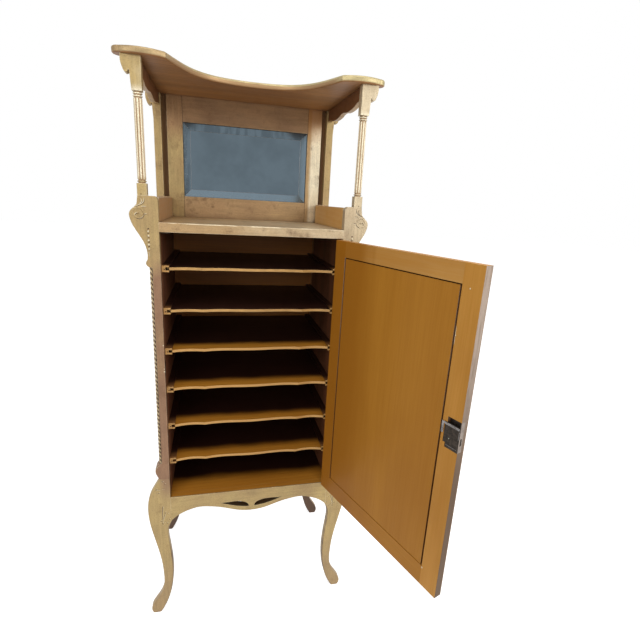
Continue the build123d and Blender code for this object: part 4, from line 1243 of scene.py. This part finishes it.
class CABINET_OT_wear(bpy.types.Operator):
    """Nail heads on the runners, chips on the stile and the door, and the marks on the lock, one of them a painted
    highlight down its edge
    """

    bl_idname = "cabinet.wear"
    bl_label = "Nails, chips and lock marks"

    def execute(self, context):
        rust = plain_tone("rusty_nail", "old_patch_and_shade", rough=0.6, metallic=0.2)
        chip = plain_tone("bare_chip", "glint", rough=0.7)
        line = plain_tone("lock_line", "steel", rough=0.4, metallic=0.6)
        for level in range(1, 7):
            low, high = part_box("runners_%d" % level)
            up = (low.z + high.z) / 2 - RUNNER_NAIL_DROP
            for label, across in (("left", low.x + RUNNER_NAIL_INSET), ("right", high.x - RUNNER_NAIL_INSET)):
                piece = dot("runner_nail_%d_%s" % (level, label), Vector((across, low.y, up)), RUNNER_NAIL, rust)
        for name, out, up, radius in STILE_CHIPS:
            piece = dot(name, front_place(1, out, up), (radius, STILE_CHIP_RISE), chip)
        for name, out, up, radius in DOOR_CHIPS:
            piece = dot(name, door_place(out, up), (radius, DOOR_CHIP_RISE), chip, DOOR_INWARD, DOOR)
        places = [door_place(out, up, -0.1) for out, up, share in FLAKED_EDGE]
        shares = [share for out, up, share in FLAKED_EDGE]
        tube("flaked_edge", places, FLAKED_RADIUS, chip, DOOR, shares)
        worn = plain_tone("lock_dot", "pewter", rough=0.5, metallic=0.3)
        dot("key_dot", door_place(*KEY_DOT), LOCK_DOT, worn, DOOR_INWARD, DOOR)
        # The upright line is a painted highlight down the lock's edge.
        marks = [tube("lock_line_upright", [door_place(*end) for end in UPRIGHT_LINE], UPRIGHT_RADIUS, line, DOOR),
                 tube("lock_line_low", [door_place(*end) for end in LOW_LINE], LOW_RADIUS, line, DOOR)]
        joined("lock_lines", marks)
        hatching = []
        for index in range(HATCH_COUNT):
            out = HATCH_FIRST + HATCH_PITCH * index
            ends = [door_place(out, HATCH_HEIGHTS[0], HATCH_PROUD),
                    door_place(out + HATCH_LEAN, HATCH_HEIGHTS[1], HATCH_PROUD)]
            hatching.append(tube("cover_hatch_%d" % index, ends, HATCH_RADIUS, rust, DOOR))
        joined("cover_hatching", hatching)
        return {"FINISHED"}


def seen_plainly(tree, unseen, seen, output):
    """What the camera, mirrors and glass see where it differs from what lights the cabinet."""
    rays = put(tree, "ShaderNodeLightPath").outputs
    direct = most(tree, rays["Is Camera Ray"], most(tree, rays["Is Glossy Ray"], rays["Is Transmission Ray"]))
    mixed = put(tree, "ShaderNodeMixShader", {0: direct, 1: unseen, 2: seen})
    tree.links.new(mixed.outputs[0], tree.nodes[output].inputs["Surface"])


class CABINET_OT_stage(bpy.types.Operator):
    """Plain pale floor, soft light and the camera"""

    bl_idname = "cabinet.stage"
    bl_label = "Stage"

    def execute(self, context):
        scene = context.scene
        scene.view_settings.view_transform = "Standard"
        self.lay_floor(context)
        self.light_studio(scene)
        self.set_camera(scene)
        return {"FINISHED"}

    def lay_floor(self, context):
        """A pale floor that looks white and lights the cabinet less."""
        pale, tree, shader = new_material("pale_floor")
        fill(tree, shader, {"Base Color": FLOOR_GREY, "Roughness": FLOOR_ROUGHNESS})
        surface = tree.nodes["Principled BSDF"].outputs[0]
        glow = put(tree, "ShaderNodeEmission", {"Color": WHITE, "Strength": FLOOR_GLOW}).outputs[0]
        lit = put(tree, "ShaderNodeAddShader", {0: surface, 1: glow}).outputs[0]
        seen_plainly(tree, surface, lit, "Material Output")
        bpy.ops.mesh.primitive_plane_add(size=FLOOR_SIZE, location=(MIDDLE_X, 0.0, 0.0))
        floor = context.active_object
        floor.name = "floor"
        floor.data.materials.append(pale)

    def light_studio(self, scene):
        """White surroundings with dimmer light, and three soft lamps."""
        world = bpy.data.worlds.new("studio")
        scene.world = world
        world.use_nodes = True
        tree = world.node_tree
        soft = tree.nodes["Background"]
        fill(tree, soft.inputs, {"Color": WHITE, "Strength": STUDIO_LIGHT})
        white = put(tree, "ShaderNodeBackground", {"Color": WHITE, "Strength": 1.0})
        seen_plainly(tree, soft.outputs[0], white.outputs[0], "World Output")
        for name, place, aim, share, width in LAMPS:
            data = bpy.data.lights.new(name, "AREA")
            data.energy = size("lamp_power") * share
            data.size = width
            lamp = bpy.data.objects.new(name, data)
            lamp.location = place
            lamp.rotation_euler = (Vector(aim) - Vector(place)).to_track_quat("-Z", "Y").to_euler()
            scene.collection.objects.link(lamp)

    def set_camera(self, scene):
        """The camera, as worked out from the photograph."""
        data = bpy.data.cameras.new("camera")
        data.sensor_width = SENSOR
        data.lens = LENS
        camera = bpy.data.objects.new("camera", data)
        scene.collection.objects.link(camera)
        back = CAMERA_RIGHT.cross(CAMERA_UP).normalized()
        turned = Matrix((CAMERA_RIGHT, CAMERA_UP, back)).transposed().to_4x4()
        camera.matrix_world = Matrix.Translation(CAMERA_PLACE) @ turned
        scene.camera = camera


class CABINET_PT_panel(bpy.types.Panel):
    """Lists the cabinet's operators and choices"""

    bl_label = "Sheet music cabinet"
    bl_idname = "CABINET_PT_panel"
    bl_space_type = "VIEW_3D"
    bl_region_type = "UI"
    bl_category = "Cabinet"

    def draw(self, context):
        for operator in OPERATORS:
            self.layout.operator(operator.bl_idname)
        for group in (context.scene.cabinet_colours, context.scene.cabinet_sizes):
            for name in group.bl_rna.properties.keys():
                if name not in ("rna_type", "name"):
                    self.layout.prop(group, name)


OPERATORS = (
    CABINET_OT_gold_boards,
    CABINET_OT_inner_boards,
    CABINET_OT_door_boards,
    CABINET_OT_hardware,
    CABINET_OT_mirror,
    CABINET_OT_rope_mouldings,
    CABINET_OT_carving,
    CABINET_OT_wear,
    CABINET_OT_stage,
)
CLASSES = (CabinetColours, CabinetSizes, *OPERATORS, CABINET_PT_panel)


def register():
    for item in CLASSES:
        bpy.utils.register_class(item)
    bpy.types.Scene.cabinet_colours = bpy.props.PointerProperty(type=CabinetColours)
    bpy.types.Scene.cabinet_sizes = bpy.props.PointerProperty(type=CabinetSizes)


def unregister():
    del bpy.types.Scene.cabinet_sizes
    del bpy.types.Scene.cabinet_colours
    for item in reversed(CLASSES):
        bpy.utils.unregister_class(item)


def main():
    register()
    for operator in OPERATORS:
        group, name = operator.bl_idname.split(".")
        if getattr(getattr(bpy.ops, group), name)() != {"FINISHED"}:
            raise RuntimeError(operator.bl_label + " didn't finish")


if __name__ == "__main__":
    main()
